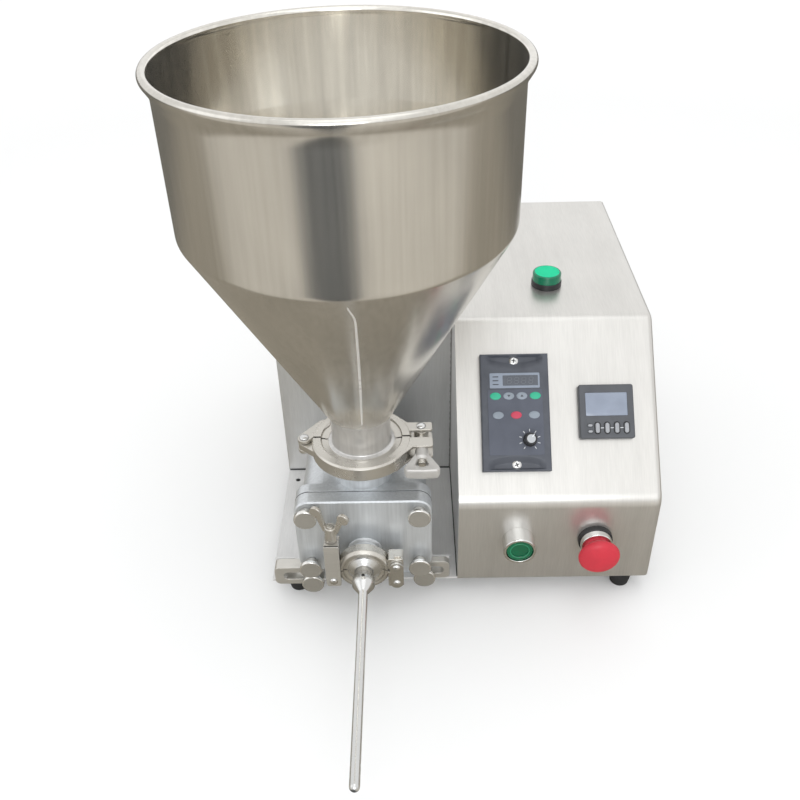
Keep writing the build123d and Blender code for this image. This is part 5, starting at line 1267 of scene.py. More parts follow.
@dataclass
class RingClamp(Assembly):
    """Sanitary clamp: two grooved half rings that close over a pair of ferrules.

    Attributes:
        outer: Outer radius.
        lip: Radius of the mouth.
        rim: Radius of the groove.
        half: Half height.
        face: Half height of the groove.
        chamfer: Size of the outer bevel.
        split: Half the gap between the halves at their outside.
    """

    outer: float
    lip: float
    rim: float
    half: float
    face: float
    chamfer: float
    split: float

    def half_rings(self) -> tuple[Skin, Skin]:
        """Half rings: bevelled outside, a low inner ledge with a line round it, a groove inside.

        Each is that section carried round a little less than half a turn.

        Returns:
            The halves toward own +Y and -Y.
        """
        outer, lip, rim = self.outer, self.lip, self.rim
        half, face, chamfer = self.half, self.face, self.chamfer
        mouth = face + (rim - lip) * FERRULE_TAPER
        ledge = lip + LEDGE_SHARE * (outer - lip)
        section = (
            (lip, half - 2.6, 0.5),
            (ledge - 0.5, half - 1.5, 0.1),
            (ledge, half - 2.0, 0.1),
            (ledge + 0.5, half, 0.3),
            (outer - chamfer, half, 0.9),
            (outer, half - chamfer, 0.9),
            (outer, chamfer - half, 0.9),
            (outer - chamfer, -half, 0.9),
            (lip, -half, 0.6),
            (lip, -mouth, 0.4),
            (rim, -face, 0.2),
            (rim, face, 0.2),
            (lip, mouth, 0.4),
        )
        loop = rounded(section, closed=True, steps=4)
        loop = np.concatenate([loop, loop[:1]])[::-1]
        gap = math.asin(self.split / loop[:, 0].max())
        return tuple(revolved(loop, 72, start + gap, math.pi - 2.0 * gap) for start in (0.0, math.pi))


@dataclass
class HopperClamp(RingClamp):
    """Two hinged halves round the hopper's ferrule, with a swing bolt and a cast wing nut."""

    x: float = Hopper.axis_x
    y: float = Hopper.axis_y
    z: float = Hopper.seat_z
    outer: float = 43.5
    lip: float = 28.8
    rim: float = 32.15
    half: float = 7.3
    face: float = 3.75
    chamfer: float = 1.6
    split: float = 1.1
    hinge_x: float = 50.0
    eye: float = 5.8
    eye_play: float = 0.4
    tongue: float = 3.2
    tongue_root: Point = (-39.5, -9.0)
    cheek_play: float = 0.3
    arm_root: Point = (-34.0, 20.0)
    rear_ear: tuple[Point, ...] = (
        (62.0, 8.5), (62.0, 19.5), (40.0, 19.5), (33.0, 27.0), (27.0, 33.0), (23.0, 31.0), (37.0, 8.5)
    )
    front_ear: tuple[Point, ...] = (
        (62.0, -14.0), (62.0, -1.5), (40.0, -1.5), (36.0, -6.0), (25.0, -30.0), (30.0, -31.5), (45.0, -14.0)
    )
    ear_corner: float = 2.2
    slot: float = 4.3
    step: float = 0.3
    bolt_x: float = 52.0
    bolt_y: float = 14.0
    bolt_radius: float = 3.5
    bolt_eye: float = 6.5
    bolt_eye_half: float = 4.0
    bolt_root: float = 2.0
    bolt_reach: float = 45.0
    nut_start: float = 26.0
    nut_bore: float = 3.6
    nut_hub: float = 6.0
    nut_nose: float = 12.0
    nut_length: float = 32.0
    nut_span: float = 15.5
    nut_thick: float = 6.8
    nut_swell: float = 0.45
    fan_root: float = 7.0
    fan_shares: tuple[float, ...] = (0.0, 0.03, 0.12, 0.8, 0.94, 1.0)
    fan_levels: tuple[float, ...] = (0.5, 0.82, 1.0, 1.0, 0.92, 0.6)
    window_place: float = 19.8
    window: float = 5.9
    window_drop: float = 1.2
    pin_radius: float = 3.0

    def build(self) -> None:
        """Makes the clamp's pieces."""
        rear, front = self.half_rings()
        hinge = (-self.hinge_x, 0.0)
        rear.join(self.cheeks(pill(hinge, self.arm_root, self.eye), self.tongue + self.cheek_play, 0.9))
        rear.join(self.ear(self.rear_ear))
        self.stand("hopper_clamp_rear_skin", rear, "cast", "hopper_clamp_rear")
        tongue = pill(hinge, self.tongue_root, self.eye - self.eye_play)
        front.join(slab(tongue, -self.tongue, self.tongue, 0.6))
        front.join(self.ear(self.front_ear))
        self.stand("hopper_clamp_front_skin", front, "cast", "hopper_clamp_front")
        self.bolt()
        self.nut()

    @property
    def place(self) -> Array:
        """In the middle of the ring, own Z up."""
        return at(self.x, self.y, self.z)

    def cheeks(self, outline: Array, gap: float, edge: float) -> Skin:
        """Two equal plates, half the gap above and below the clamp's middle, a little lower than its ring."""
        high = self.half - self.step
        return slab(outline, gap, high, edge).join(slab(outline, -high, -gap, edge))

    def ear(self, corners: Sequence[Point]) -> Skin:
        """Forked ear that grows from the ring and runs to the right, above and below the bolt."""
        outline = rounded([(*corner, self.ear_corner) for corner in corners], closed=True)
        return self.cheeks(outline, self.slot, 0.8)

    def bolt(self) -> None:
        """Eye bolt: a disc eye about its pin and a round shank to the front."""
        skin = slab(ellipse(self.bolt_eye, self.bolt_eye), -self.bolt_eye_half, self.bolt_eye_half, 0.9)
        skin.join(rod(self.bolt_radius, self.bolt_root, self.bolt_reach, (0.1, 0.8)), FRONTWARD)
        place = self.place @ at(self.bolt_x, self.bolt_y, 0.0)
        self.stand("hopper_bolt_skin", skin, "cast", "hopper_swing_bolt", place)

    def nut(self) -> None:
        """Wing nut: a nosed hub that spreads into a flat fan; a window in the fan shows the bolt's end.

        The fan is a grid from its outer outline over the rounded edges to the window's edge and back below.
        It swells in thickness in step with the distance from the hub's nose.
        """
        start, end = self.nut_start, self.nut_start + self.nut_length
        nose, root = start + self.nut_nose, start + self.fan_root
        hub = (
            (self.nut_bore, start),
            (self.nut_hub - 0.2, start, 1.2),
            (self.nut_hub, nose, 1.0),
            (self.nut_bore, nose + 2.0),
        )
        skin = turned(hub, 48, steps=5)
        fan = rounded(
            (
                (0.6 - self.nut_hub, root, 2.0),
                (self.nut_hub - 0.6, root, 2.0),
                (self.nut_span, end - 5.0, 3.0),
                (self.nut_span - 2.2, end - 0.8, 2.0),
                (0.0, end, 20.0),
                (2.2 - self.nut_span, end - 0.8, 2.0),
                (-self.nut_span, end - 5.0, 3.0),
            ),
            closed=True,
            steps=8,
        )
        middle = np.array([0.0, start + self.window_place])
        away = fan - middle
        angle = np.arctan2(away[:, 1], away[:, 0])
        reach = self.window + self.window_drop * np.maximum(0.0, np.sin(-angle)) ** 3
        window = middle + sweep(angle, reach, reach)
        share = np.array(self.fan_shares)
        level = self.nut_thick / 2.0 * np.array(self.fan_levels)
        share = np.concatenate([share[:1], share, share[::-1], share[:1]])[:, None, None]
        level = np.concatenate([-level[:1], level, -level[::-1], -level[:1]])[:, None]
        flat = fan[None] * (1.0 - share) + window[None] * share
        swell = 1.0 + self.nut_swell * np.clip((flat[..., 1] - nose) / (end - nose), 0.0, 1.0)
        rows = np.concatenate([flat, (level * swell)[..., None]], -1)
        rows = np.concatenate([rows, rows[:, :1]], 1)
        skin.join(Skin().grid(rows), FRONTWARD)
        place = self.place @ at(self.bolt_x, self.bolt_y, 0.0) @ FRONTWARD
        self.stand("hopper_nut_skin", skin, "rough_cast", "hopper_wing_nut", place)


# Pump

def ferrule_end(tube: float, rim: float, bore: float, seat: float) -> tuple[tuple[float, ...], ...]:
    """Upper end of a sanitary tube: a tapered ferrule, its face half a gasket below the clamp's middle.

    Args:
        tube: Outer radius of the tube.
        rim: Radius of the ferrule.
        bore: Radius of the bore.
        seat: Height of the clamp's middle.

    Returns:
        Corners of (radius, height, corner radius), from the tube up to the bore.
    """
    face = seat - GASKET / 2.0
    brow = face - FERRULE_RIM
    return (tube, brow - FERRULE_SLOPE, 1.5), (rim, brow, 0.5), (rim, face, 0.4), (bore, face)


@dataclass
class Pump(Assembly):
    """Pump body with flange and foot, front cover, disc knobs and hold-downs."""

    x: float = Hopper.axis_x
    front: float = -10.0
    thick: float = 13.5
    width: float = 120.0
    height: float = 83.0
    bottom: float = 24.5
    corner: float = 13.0
    bevel: float = 1.2
    flange_bevel: float = 0.4
    gasket: float = 0.8
    flange: float = 10.5
    body_width: float = 112.0
    body_height: float = 78.0
    body_corner: float = 20.0
    body_rear: float = 92.0
    neck: float = 24.0
    drive_step: float = 20.0
    recess: float = Case.recess
    foot_width: float = 110.0
    foot_front: float = 6.0
    foot_low: float = Case.base_sheet
    inlet: float = Hopper.tube
    inlet_bore: float = 15.0
    inlet_root: float = 6.0
    inlet_rim: float = Hopper.ferrule
    inlet_y: float = Hopper.axis_y
    inlet_z: float = Hopper.seat_z
    outlet_z: float = 49.0
    outlet: float = 12.7
    outlet_bore: float = 11.0
    outlet_rim: float = 17.0
    clamp_y: float = -28.5
    disc: float = 10.0
    disc_thick: float = 3.5
    disc_neck: float = 7.5
    neck_radius: float = 5.5
    shank_radius: float = 4.0
    hold_height: float = 21.0
    hold_slot: float = 4.3
    hold_corner: float = 5.0
    left_bridge: float = 8.0
    right_bridge: float = 5.4

    def build(self) -> None:
        """Makes the pump's pieces."""
        self.cover()
        self.body()
        self.knobs()
        self.hold_downs()
        self.shop.dress("drive", "cover_studs", "gearbox_shaft", "drive_coupling", "drive_shaft")
        self.shop.dress("drive", "drive_rotor", "idler_rotor", "motor_bracket", "estop_stem")
        self.shop.dress("seal_rubber", "seals")
        self.shop.dress("bronze", "shaft_bushes")
        self.shop.dress("motor_paint", "gear_motor")
        self.shop.dress("alloy", "gearbox")

    @property
    def middle(self) -> float:
        """Height of the cover's middle."""
        return self.bottom + self.height / 2.0

    @property
    def place(self) -> Array:
        """In the middle of the cover, own Z to the front."""
        return facing_front(self.x, 0.0, self.middle)

    @staticmethod
    def bevelled(outline: Array, low: float, high: float, bevel: float) -> Skin:
        """Plate from one height to another with a straight bevel round its upper edge."""
        edge = ((0.0, high - bevel, 0.25), (bevel, high, 0.25), (2.5 * bevel, high))
        return lofted(outline, rounded(((1.0, low), (0.0, low, 0.3), *edge), steps=3, hold=0.08))

    def cover(self) -> None:
        """Front cover with its outlet tube and ferrule."""
        face = -self.front
        outline = rectangle(self.width, self.height, self.corner)
        skin = self.bevelled(outline, face - self.thick, face, self.bevel)
        stub = (
            (self.outlet_bore, face - 0.5),
            (self.outlet + 3.2, face - 0.5, 0.1),
            (self.outlet + 2.6, face + 0.9, 0.8),
            (self.outlet, face + 2.8, 1.2),
            *ferrule_end(self.outlet, self.outlet_rim, self.outlet_bore, -self.clamp_y),
        )
        skin.join(turned(stub, steps=5), at(0.0, self.outlet_z - self.middle, 0.0))
        self.stand("pump_cover_skin", skin, "pump", "pump_cover")

    def body(self) -> None:
        """Flange, rounded block, bearing neck, foot and inlet ferrule."""
        back = -self.front - self.thick - self.gasket
        rear = back - self.flange
        outline = rectangle(self.width, self.height, self.corner)
        skin = self.bevelled(outline, rear, back, self.flange_bevel)
        block = rectangle(self.body_width, self.body_height, self.body_corner)
        skin.join(slab(block, -self.body_rear, rear + 0.5, 1.2))
        foot_top = self.bottom + self.body_corner
        foot_middle = (0.0, (self.foot_low + foot_top) / 2.0 - self.middle)
        foot = rectangle(self.foot_width, foot_top - self.foot_low, 1.0, foot_middle)
        skin.join(slab(foot, 0.4 - self.body_rear, -self.foot_front, 0.6))
        neck = rod(self.neck, 0.3 - self.recess, 1.0 - self.body_rear, (0.6, 0.2), 72)
        skin.join(neck, at(-self.drive_step, 0.0, 0.0))
        base = self.bottom + (self.height + self.body_height) / 2.0 - self.inlet_root
        stub = (
            (self.inlet_bore, base),
            (self.inlet, base, 0.1),
            *ferrule_end(self.inlet, self.inlet_rim, self.inlet_bore, self.inlet_z),
        )
        skin.join(turned(stub), np.linalg.inv(self.place) @ at(self.x, self.inlet_y, 0.0))
        self.stand("pump_body_skin", skin, "pump", "pump_body")

    def disc_head(self, shank: float = 0.0) -> Skin:
        """Disc grip on a short neck, turned about its axis; its rim has a slot of its own, a smoother and
        lighter finish whose lighter colour paints the rim's highlight.

        Args:
            shank: Length of a screw shank behind it.

        Returns:
            A closed skin.
        """
        step = self.disc_neck + self.disc_thick
        thread = self.shank_radius
        tail = ((0.0, -shank), (thread, -shank, 0.3), (thread, 0.0)) if shank > 0.0 else ((0.0, 0.0),)
        profile = rounded(
            (
                *tail,
                (self.neck_radius, 0.0, 0.3),
                (self.neck_radius, self.disc_neck, 0.5),
                (self.disc, self.disc_neck, 0.7),
                (self.disc, step, 1.2),
                (self.disc * 0.35, step - 0.06, 4.0),
                (0.0, step - 0.1),
            ),
            steps=5,
        )
        radius, height = profile[:-1].T
        # The rim takes the lighter finish that paints its highlight.
        rim = (radius > self.disc - 1.0) & (height > self.disc_neck + 0.4)
        return revolved(profile, 96, slots=rim.astype(int).tolist())

    def knobs(self) -> None:
        """Four cover knobs and two hand screws, placed at their nodes."""
        finishes = ("disc", "disc_rim_highlight")
        for name in [f"cover_knob_{number}" for number in range(1, 5)]:
            low, high = self.shop.box(name)
            x, _, z = (low + high) / 2.0
            self.stand(name + "_skin", self.disc_head(), finishes, name, facing_front(x, high[1], z))
        for name in ("hold_down_screw_left", "hold_down_screw_right"):
            low, high = self.shop.box(name)
            x, _, z = (low + high) / 2.0
            seat = low[1] + self.disc_neck + self.disc_thick
            head = self.disc_head(high[1] - seat)
            self.stand(name + "_skin", head, finishes, name, facing_front(x, seat, z))

    def hold_downs(self) -> None:
        """Slotted plates: a rounded bar whose outline runs round the open slot."""
        slot, a = self.hold_slot, self.hold_height / 2.0
        turn = np.linspace(-math.pi / 2.0, math.pi / 2.0, 16)
        for name, bridge in (("hold_down_left", self.left_bridge), ("hold_down_right", self.right_bridge)):
            low, high = self.shop.box(name)
            length = high[0] - low[0]
            arc = np.array([bridge + slot, 0.0]) + sweep(turn, -slot, slot)
            closed_end = ((length, -a), (0.0, -a, self.hold_corner), (0.0, a, self.hold_corner), (length, a))
            shell = rounded((*closed_end, (length, slot)), steps=8)
            outline = np.concatenate([shell, arc[::-1], [[length, -slot]]])
            if name == "hold_down_left":
                outline = (outline + np.array([low[0], 0.0]))[::-1]
            else:
                outline = np.array([high[0], 0.0]) + outline * np.array([-1.0, 1.0])
            place = facing_front(0.0, high[1], (low[2] + high[2]) / 2.0)
            skin = slab(outline, 0.0, high[1] - low[1], 0.5)
            self.stand(name + "_skin", skin, "strap", name, place)


# Outlet clamp and nozzle

@dataclass
class Outlet(RingClamp):
    """Outlet clamp with latch, butterfly nut and links, the nozzle adapter and the needle."""

    x: float = Pump.x
    y: float = Pump.clamp_y
    z: float = Pump.outlet_z
    outer: float = 23.0
    lip: float = 14.6
    rim: float = 17.15
    half: float = 6.4
    face: float = 3.75
    chamfer: float = 2.4
    split: float = 0.75
    latch_lug: Point = (-33.5, -21.0)
    latch_lug_upper: Point = (2.0, 28.5)
    latch_lug_lower: Point = (-19.0, -2.0)
    link_lug: Point = (21.0, 34.5)
    link_lug_upper: Point = (0.75, 13.5)
    link_lug_lower: Point = (-19.8, -2.0)
    lug_corner: float = 1.6
    lug_step: float = 0.15
    stud_x: float = 27.0
    stud_radius: float = 3.0
    stud_root: float = 14.0
    stud_top: float = 49.0
    peg: Point = (6.0, 3.0)
    peg_span: Point = (12.0, 15.2)
    peg_aside: float = 1.0
    peg_y: float = -3.0
    latch_width: float = 13.0
    latch_sheet: float = 2.3
    latch_top: float = 31.8
    latch_pin: float = -10.0
    latch_heel: float = 5.5
    latch_back: float = -5.4
    latch_play: float = 0.3
    fork_play: float = 0.4
    rivet_radius: float = 2.5
    rivet_head: float = 1.2
    rivet_rise: float = 1.8
    link_x: float = 28.5
    link_upper: float = 5.0
    link_lower: float = -14.0
    link_half: float = 5.8
    link_sheet: float = 2.2
    link_play: float = 0.2
    lobe_x: float = 12.8
    lobe_y: float = 60.5
    lobe: float = 5.4
    lobe_thick: float = 3.4
    lobe_sweep: Point = (-0.42 * math.pi, 0.86 * math.pi)
    nut_hub: float = 5.5
    nut_bore: float = 3.1
    nut_seat: float = 0.8
    nut_height: float = 15.5
    nut_turn: float = math.radians(-22.5)
    bore: float = 3.0
    hub: float = 8.4
    hub_start: float = 7.8
    hub_end: float = 16.5
    shoulder: Point = (13.8, 4.8)
    ferrule: float = Pump.outlet_rim
    set_screw_radius: float = 1.5
    set_screw_step: float = 3.5
    set_screw_span: Point = (8.6, 9.64)

    def build(self) -> None:
        """Makes the outlet's pieces."""
        self.halves()
        self.latch()
        self.nut()
        self.links()
        self.adapter()
        self.set_screw()
        self.shop.dress("turned", "nozzle_tube", edge=0.25)

    @property
    def place(self) -> Array:
        """In the middle of the ring, own Z to the front."""
        return facing_front(self.x, self.y, self.z)

    def lug(self, x: Point, y: Point) -> Skin:
        """Block lug beside the ring.

        Args:
            x: Its left and right side.
            y: Its lower and upper side.

        Returns:
            A closed skin.
        """
        middle = ((x[0] + x[1]) / 2.0, (y[0] + y[1]) / 2.0)
        outline = rectangle(x[1] - x[0], y[1] - y[0], self.lug_corner, middle)
        high = self.half - self.lug_step
        return slab(outline, -high, high, 0.6)

    def halves(self) -> None:
        """Upper half with its lugs, its stud and a peg behind the link, and lower half with its lugs."""
        upper, lower = self.half_rings()
        upper.join(self.lug(self.latch_lug, self.latch_lug_upper))
        upper.join(self.lug(self.link_lug, self.link_lug_upper))
        stud = rod(self.stud_radius, self.stud_root, self.stud_top, (0.2, 0.6))
        upper.join(stud, at(-self.stud_x, 0.0, 0.0) @ UPWARD)
        peg = rectangle(*self.peg, 0.8, (self.link_x + self.peg_aside, self.peg_y))
        upper.join(slab(peg, *self.peg_span, 0.5), UPWARD)
        self.stand("outlet_upper_skin", upper, "cast", "outlet_clamp_upper")
        lower.join(self.lug(self.latch_lug, self.latch_lug_lower))
        lower.join(self.lug(self.link_lug, self.link_lug_lower))
        self.stand("outlet_lower_skin", lower, "cast", "outlet_clamp_lower")

    def latch(self) -> None:
        """Bent strap: an upright leg, and a top leg that forks round the stud."""
        front = self.half + self.latch_play
        low, top = self.latch_pin - self.latch_heel, self.latch_top
        side = self.latch_width / 2.0
        corners = ((-side, low, 3.5), (side, low, 3.5), (side, top, 0.4), (-side, top, 0.4))
        upright = rounded(corners, closed=True)
        skin = slab(upright + np.array([-self.stud_x, 0.0]), front, front + self.latch_sheet, 0.4)
        fork = self.stud_radius + self.fork_play
        turn = np.linspace(-math.pi / 2.0, math.pi / 2.0, 14)
        arc = sweep(turn, -fork, fork)
        brow = front + self.latch_sheet - 0.4
        rim = (
            (side, fork),
            (side, brow, 0.5),
            (-side, brow, 0.5),
            (-side, self.latch_back, 1.5),
            (side, self.latch_back, 1.5),
            (side, -fork),
        )
        leg = slab(np.concatenate([rounded(rim), arc]), -top, self.latch_sheet - top, 0.4)
        skin.join(leg, at(-self.stud_x, 0.0, 0.0) @ FRONTWARD)
        self.stand("outlet_latch_skin", skin, "strap", "outlet_swing_latch")

    def nut(self) -> None:
        """Butterfly nut: hub on the stud and two arms that rise to round thin lobes."""
        low = self.latch_top + self.nut_seat
        top = low + self.nut_height
        bore, hub = self.nut_bore, self.nut_hub
        skin = turned(((bore, low), (hub, low, 0.6), (hub - 0.4, top, 1.2), (bore, top)), 56, steps=5)
        angle = np.linspace(*self.lobe_sweep, 40)
        paddle = np.array([self.lobe_x, self.lobe_y]) + sweep(angle, self.lobe, self.lobe)
        arm = (
            (self.lobe_x - self.lobe * 0.98, self.lobe_y - self.lobe * 0.3),
            (hub * 0.75, top - 1.2, 3.0),
            (0.5, top - 2.6),
            (0.5, top - 9.0),
            (hub + 1.2, top - 6.5, 3.5),
            (self.lobe_x - self.lobe * 0.1, self.lobe_y - self.lobe * 1.02),
        )
        right = np.concatenate([paddle, rounded(arm)])
        left = (right * np.array([-1.0, 1.0]))[::-1]
        for wing in (left, right):
            skin.join(slab(wing, -self.lobe_thick / 2.0, self.lobe_thick / 2.0, 0.9), FRONTWARD)
        place = self.place @ at(-self.stud_x, 0.0, 0.0) @ UPWARD @ spun(self.nut_turn)
        self.stand("outlet_nut_skin", skin, "cast", "outlet_wing_nut", place)

    def links(self) -> None:
        """Pins of both clamps and the two link plates."""
        near = self.half + self.link_play
        skin = Skin()
        plate = pill((self.link_x, self.link_lower), (self.link_x, self.link_upper), self.link_half)
        skin.join(slab(plate, near, near + self.link_sheet, 0.4))
        skin.join(slab(plate, -near - self.link_sheet, -near, 0.4))
        far = near + self.link_sheet
        for level in (self.link_lower, self.link_upper):
            skin.join(self.rivet(self.rivet_radius, -far, far), at(self.link_x, level, 0.0))
        latch_face = near + self.latch_play + self.latch_sheet
        latch_pin = self.rivet(self.rivet_radius, -near, latch_face)
        skin.join(latch_pin, at(-self.stud_x, self.latch_pin, 0.0))
        clamp = HopperClamp(self.shop)
        upright = np.linalg.inv(self.place) @ clamp.place
        for x, y in ((-clamp.hinge_x, 0.0), (clamp.bolt_x, clamp.bolt_y)):
            skin.join(self.rivet(clamp.pin_radius, -clamp.half, clamp.half), upright @ at(x, y, 0.0))
        self.stand("clamp_hinges_skin", skin, "fastener", "clamp_hinges")

    def rivet(self, radius: float, low: float, high: float) -> Skin:
        """Pin with a domed head, a quarter of an ellipse in section, at each end.

        Args:
            radius: Radius of the pin.
            low: Seat of the lower head.
            high: Seat of the upper head.

        Returns:
            A closed skin.
        """
        swing = np.linspace(0.0, math.pi / 2.0, 9)
        crown = sweep(swing, radius + self.rivet_head, self.rivet_rise)
        lower = np.stack([crown[::-1, 0], low - crown[::-1, 1]], -1)
        upper = np.stack([crown[:, 0], high + crown[:, 1]], -1)
        profile = np.concatenate([lower, [[radius, low], [radius, high]], upper])
        return revolved(profile, 40)

    def adapter(self) -> None:
        """Clamped cap that narrows to the needle's hub."""
        face = GASKET / 2.0
        profile = (
            (self.bore, self.hub_end),
            (self.hub, self.hub_end, 0.5),
            (self.hub, self.hub_start, 0.9),
            (*self.shoulder, 1.0),
            (self.ferrule, face + FERRULE_RIM, 0.4),
            (self.ferrule, face, 0.4),
            (self.bore, face),
        )
        self.stand("nozzle_adapter_skin", turned(profile), "turned", "nozzle_adapter")

    def set_screw(self) -> None:
        """Dark disc on the needle's nut, on its upper side, that paints the shade inside its set-screw hole.
        """
        hole = ellipse(self.set_screw_radius, self.set_screw_radius, 32)
        skin = slab(hole, *self.set_screw_span, 0.1)
        place = self.place @ at(0.0, 0.0, self.hub_end + self.set_screw_step) @ UPWARD
        self.lay("needle_set_screw", skin, "recess_dark", "nozzle_tube", place)


# Lamp and buttons

@dataclass
class Buttons(Assembly):
    """Signal lamp on the top, start button and emergency stop on the front strip."""

    start_x: float = 54.0
    stop_x: float = 123.0
    z: float = 50.0
    bezel: float = 14.6
    bezel_height: float = 16.0
    cap: float = 11.8
    cap_height: float = 7.0
    cap_sink: float = 1.0
    cap_play: float = 0.3
    cap_well: float = 4.7
    dish_brow: float = 8.6
    dish: float = 7.9
    dish_floor: float = 5.4
    cap_ring: Point = (0.55, 0.35)
    cap_ring_radius: float = 8.4
    cap_ring_sink: float = 0.15
    collar: float = 15.4
    collar_height: float = 5.0
    ring: float = 14.2
    ring_height: float = 6.0
    head: float = 18.2
    head_height: float = 14.0
    head_neck: float = 11.6
    head_square: float = 2.45
    stem: float = 6.0
    travel: float = 4.3
    barrel: float = 11.0
    barrel_length: float = 30.0
    lens_margin: float = 1.9
    lens_proud: float = 0.15

    def build(self) -> None:
        """Makes the lamp and both buttons."""
        self.lamp()
        self.start()
        self.stop()
        self.shop.dress("black", "panel_lock_nuts")

    def tail(self, bore: float = 0.0) -> tuple[tuple[float, ...], ...]:
        """Corners of the barrel behind the panel, from its bore outward."""
        end = -self.barrel_length
        return (bore, end), (self.barrel, end, 0.4), (self.barrel, 0.0)

    def lamp(self) -> None:
        """Black base and a green drum with a lighter top disc, sized from their nodes; both green parts glow
        faintly, a painted glow that brightens the lamp.
        """
        low, high = self.shop.box("lamp_lens")
        x, y, _ = (low + high) / 2.0
        wide, lens = self.shop.box("lamp_body")[1][0] - x, high[0] - x
        sheet = self.shop.box("housing_shell")[1][2]
        base, top = low[2] - sheet, high[2] - sheet
        body = (*self.tail(), (wide, 0.0, 0.2), (wide, base, 1.2), (0.0, base))
        place = at(x, y, sheet)
        self.stand("lamp_base_skin", turned(body, 72, steps=5), "black", "lamp_body", place)
        drum = rod(lens, base, top, (0.2, 1.5), 96, 8)
        self.stand("lamp_lens_skin", drum, "lamp_edge", "lamp_lens", place)
        disc = rod(lens - self.lens_margin, top - 0.5, top + self.lens_proud, (0.2, 0.1), 96, 3)
        self.lay("lamp_lens_top", disc, "lamp_lens", "lamp_lens", place)

    def start(self) -> None:
        """Chrome bezel with a deep bore, and a green cap with a raised ring."""
        bore = self.cap + self.cap_play
        place = facing_front(self.start_x, 0.0, self.z)
        bezel = (
            *self.tail(),
            (self.bezel, 0.0, 0.3),
            (self.bezel, self.bezel_height, 1.1),
            (bore, self.bezel_height, 0.5),
            (bore, self.cap_well, 0.3),
            (0.0, self.cap_well),
        )
        self.stand("start_bezel_skin", turned(bezel), "chrome", "start_button_body", place)
        face = self.bezel_height - self.cap_sink
        cap = (
            (0.0, face - self.cap_height),
            (self.cap, face - self.cap_height, 0.3),
            (self.cap, face, 1.0),
            (self.dish_brow, face - 0.1, 0.4),
            (self.dish, face - 1.0, 0.4),
            (self.dish_floor, face - 0.9, 0.6),
            (0.0, face - 0.5),
        )
        self.stand("start_cap_skin", turned(cap), "start_cap", "start_button_cap", place)
        loop = ellipse(*self.cap_ring, 16, (self.cap_ring_radius, face - self.cap_ring_sink))
        ring = revolved(np.concatenate([loop, loop[:1]]), 96)
        self.lay("start_cap_ring", ring, "start_ring", "start_button_cap", place)

    def stop(self) -> None:
        """Black collar, chrome ring and red mushroom head, whose crown is a quarter of a squarish oval."""
        place = facing_front(self.stop_x, 0.0, self.z)
        bore, seat = self.stem + self.cap_play, self.collar_height
        collar = (*self.tail(bore), (self.collar, 0.0, 0.2), (self.collar, seat, 1.3), (bore, seat))
        self.stand("stop_collar_skin", turned(collar, steps=5), "black", "estop_collar", place)
        top, bore = seat + self.ring_height, self.head_neck + self.cap_play
        ring = ((bore, seat), (self.ring, seat, 0.3), (self.ring, top, 1.4), (bore, top))
        self.stand("stop_ring_skin", turned(ring), "chrome", "estop_bezel", place)
        rim, half = top + self.travel, self.head_height / 2.0
        wide = rim + half
        swing = np.linspace(0.0, math.pi / 2.0, 26)
        across, along = np.cos(swing), np.sin(swing)
        power = 2.0 / self.head_square
        crown = np.stack([self.head * across ** power, wide + half * along ** power], -1)
        under = (
            (0.0, seat + self.travel),
            (self.head_neck, seat + self.travel, 0.4),
            (self.head_neck, rim, 0.8),
            (self.head_neck + 1.5, rim, 0.8),
            (self.head - 0.1, wide - 0.6),
        )
        head = revolved(np.concatenate([rounded(under, steps=5), crown]), 112)
        self.stand("stop_head_skin", head, "stop_red", "estop_head", place)


# Panel devices

def seven_segments(height: float, width: float, stroke: float) -> list[Array]:
    """Bars of a seven-segment figure.

    Args:
        height: Height of the figure.
        width: Its width.
        stroke: Thickness of a bar.

    Returns:
        Outline of each bar.
    """
    a, b, gap = width / 2.0, height / 2.0, stroke * 0.7
    level = [((-a + gap, y), (a - gap, y)) for y in (-b, 0.0, b)]
    upright = [((x, y0 + gap), (x, y1 - gap)) for x in (-a, a) for y0, y1 in ((-b, 0.0), (0.0, b))]
    return [pill(start, end, stroke / 2.0, 5) for start, end in level + upright]


@dataclass
class PanelDevice(Assembly):
    """Device let into the sloping panel.

    Attributes:
        x: Middle of its footprint from left to right.
        v: Distance of that middle up the slope from its lower edge.
        rise: How far its face stands out of the panel.
    """

    x: float
    v: float
    rise: float

    @property
    def place(self) -> Array:
        """In the middle of its footprint, own Y up the slope and own Z out of it."""
        cos, sin = math.cos(PANEL_TILT), math.sin(PANEL_TILT)
        place = at(self.x, self.v * cos, Case.front_height + self.v * sin)
        place[:3, 1] = (0.0, cos, sin)
        place[:3, 2] = (0.0, -sin, cos)
        return place


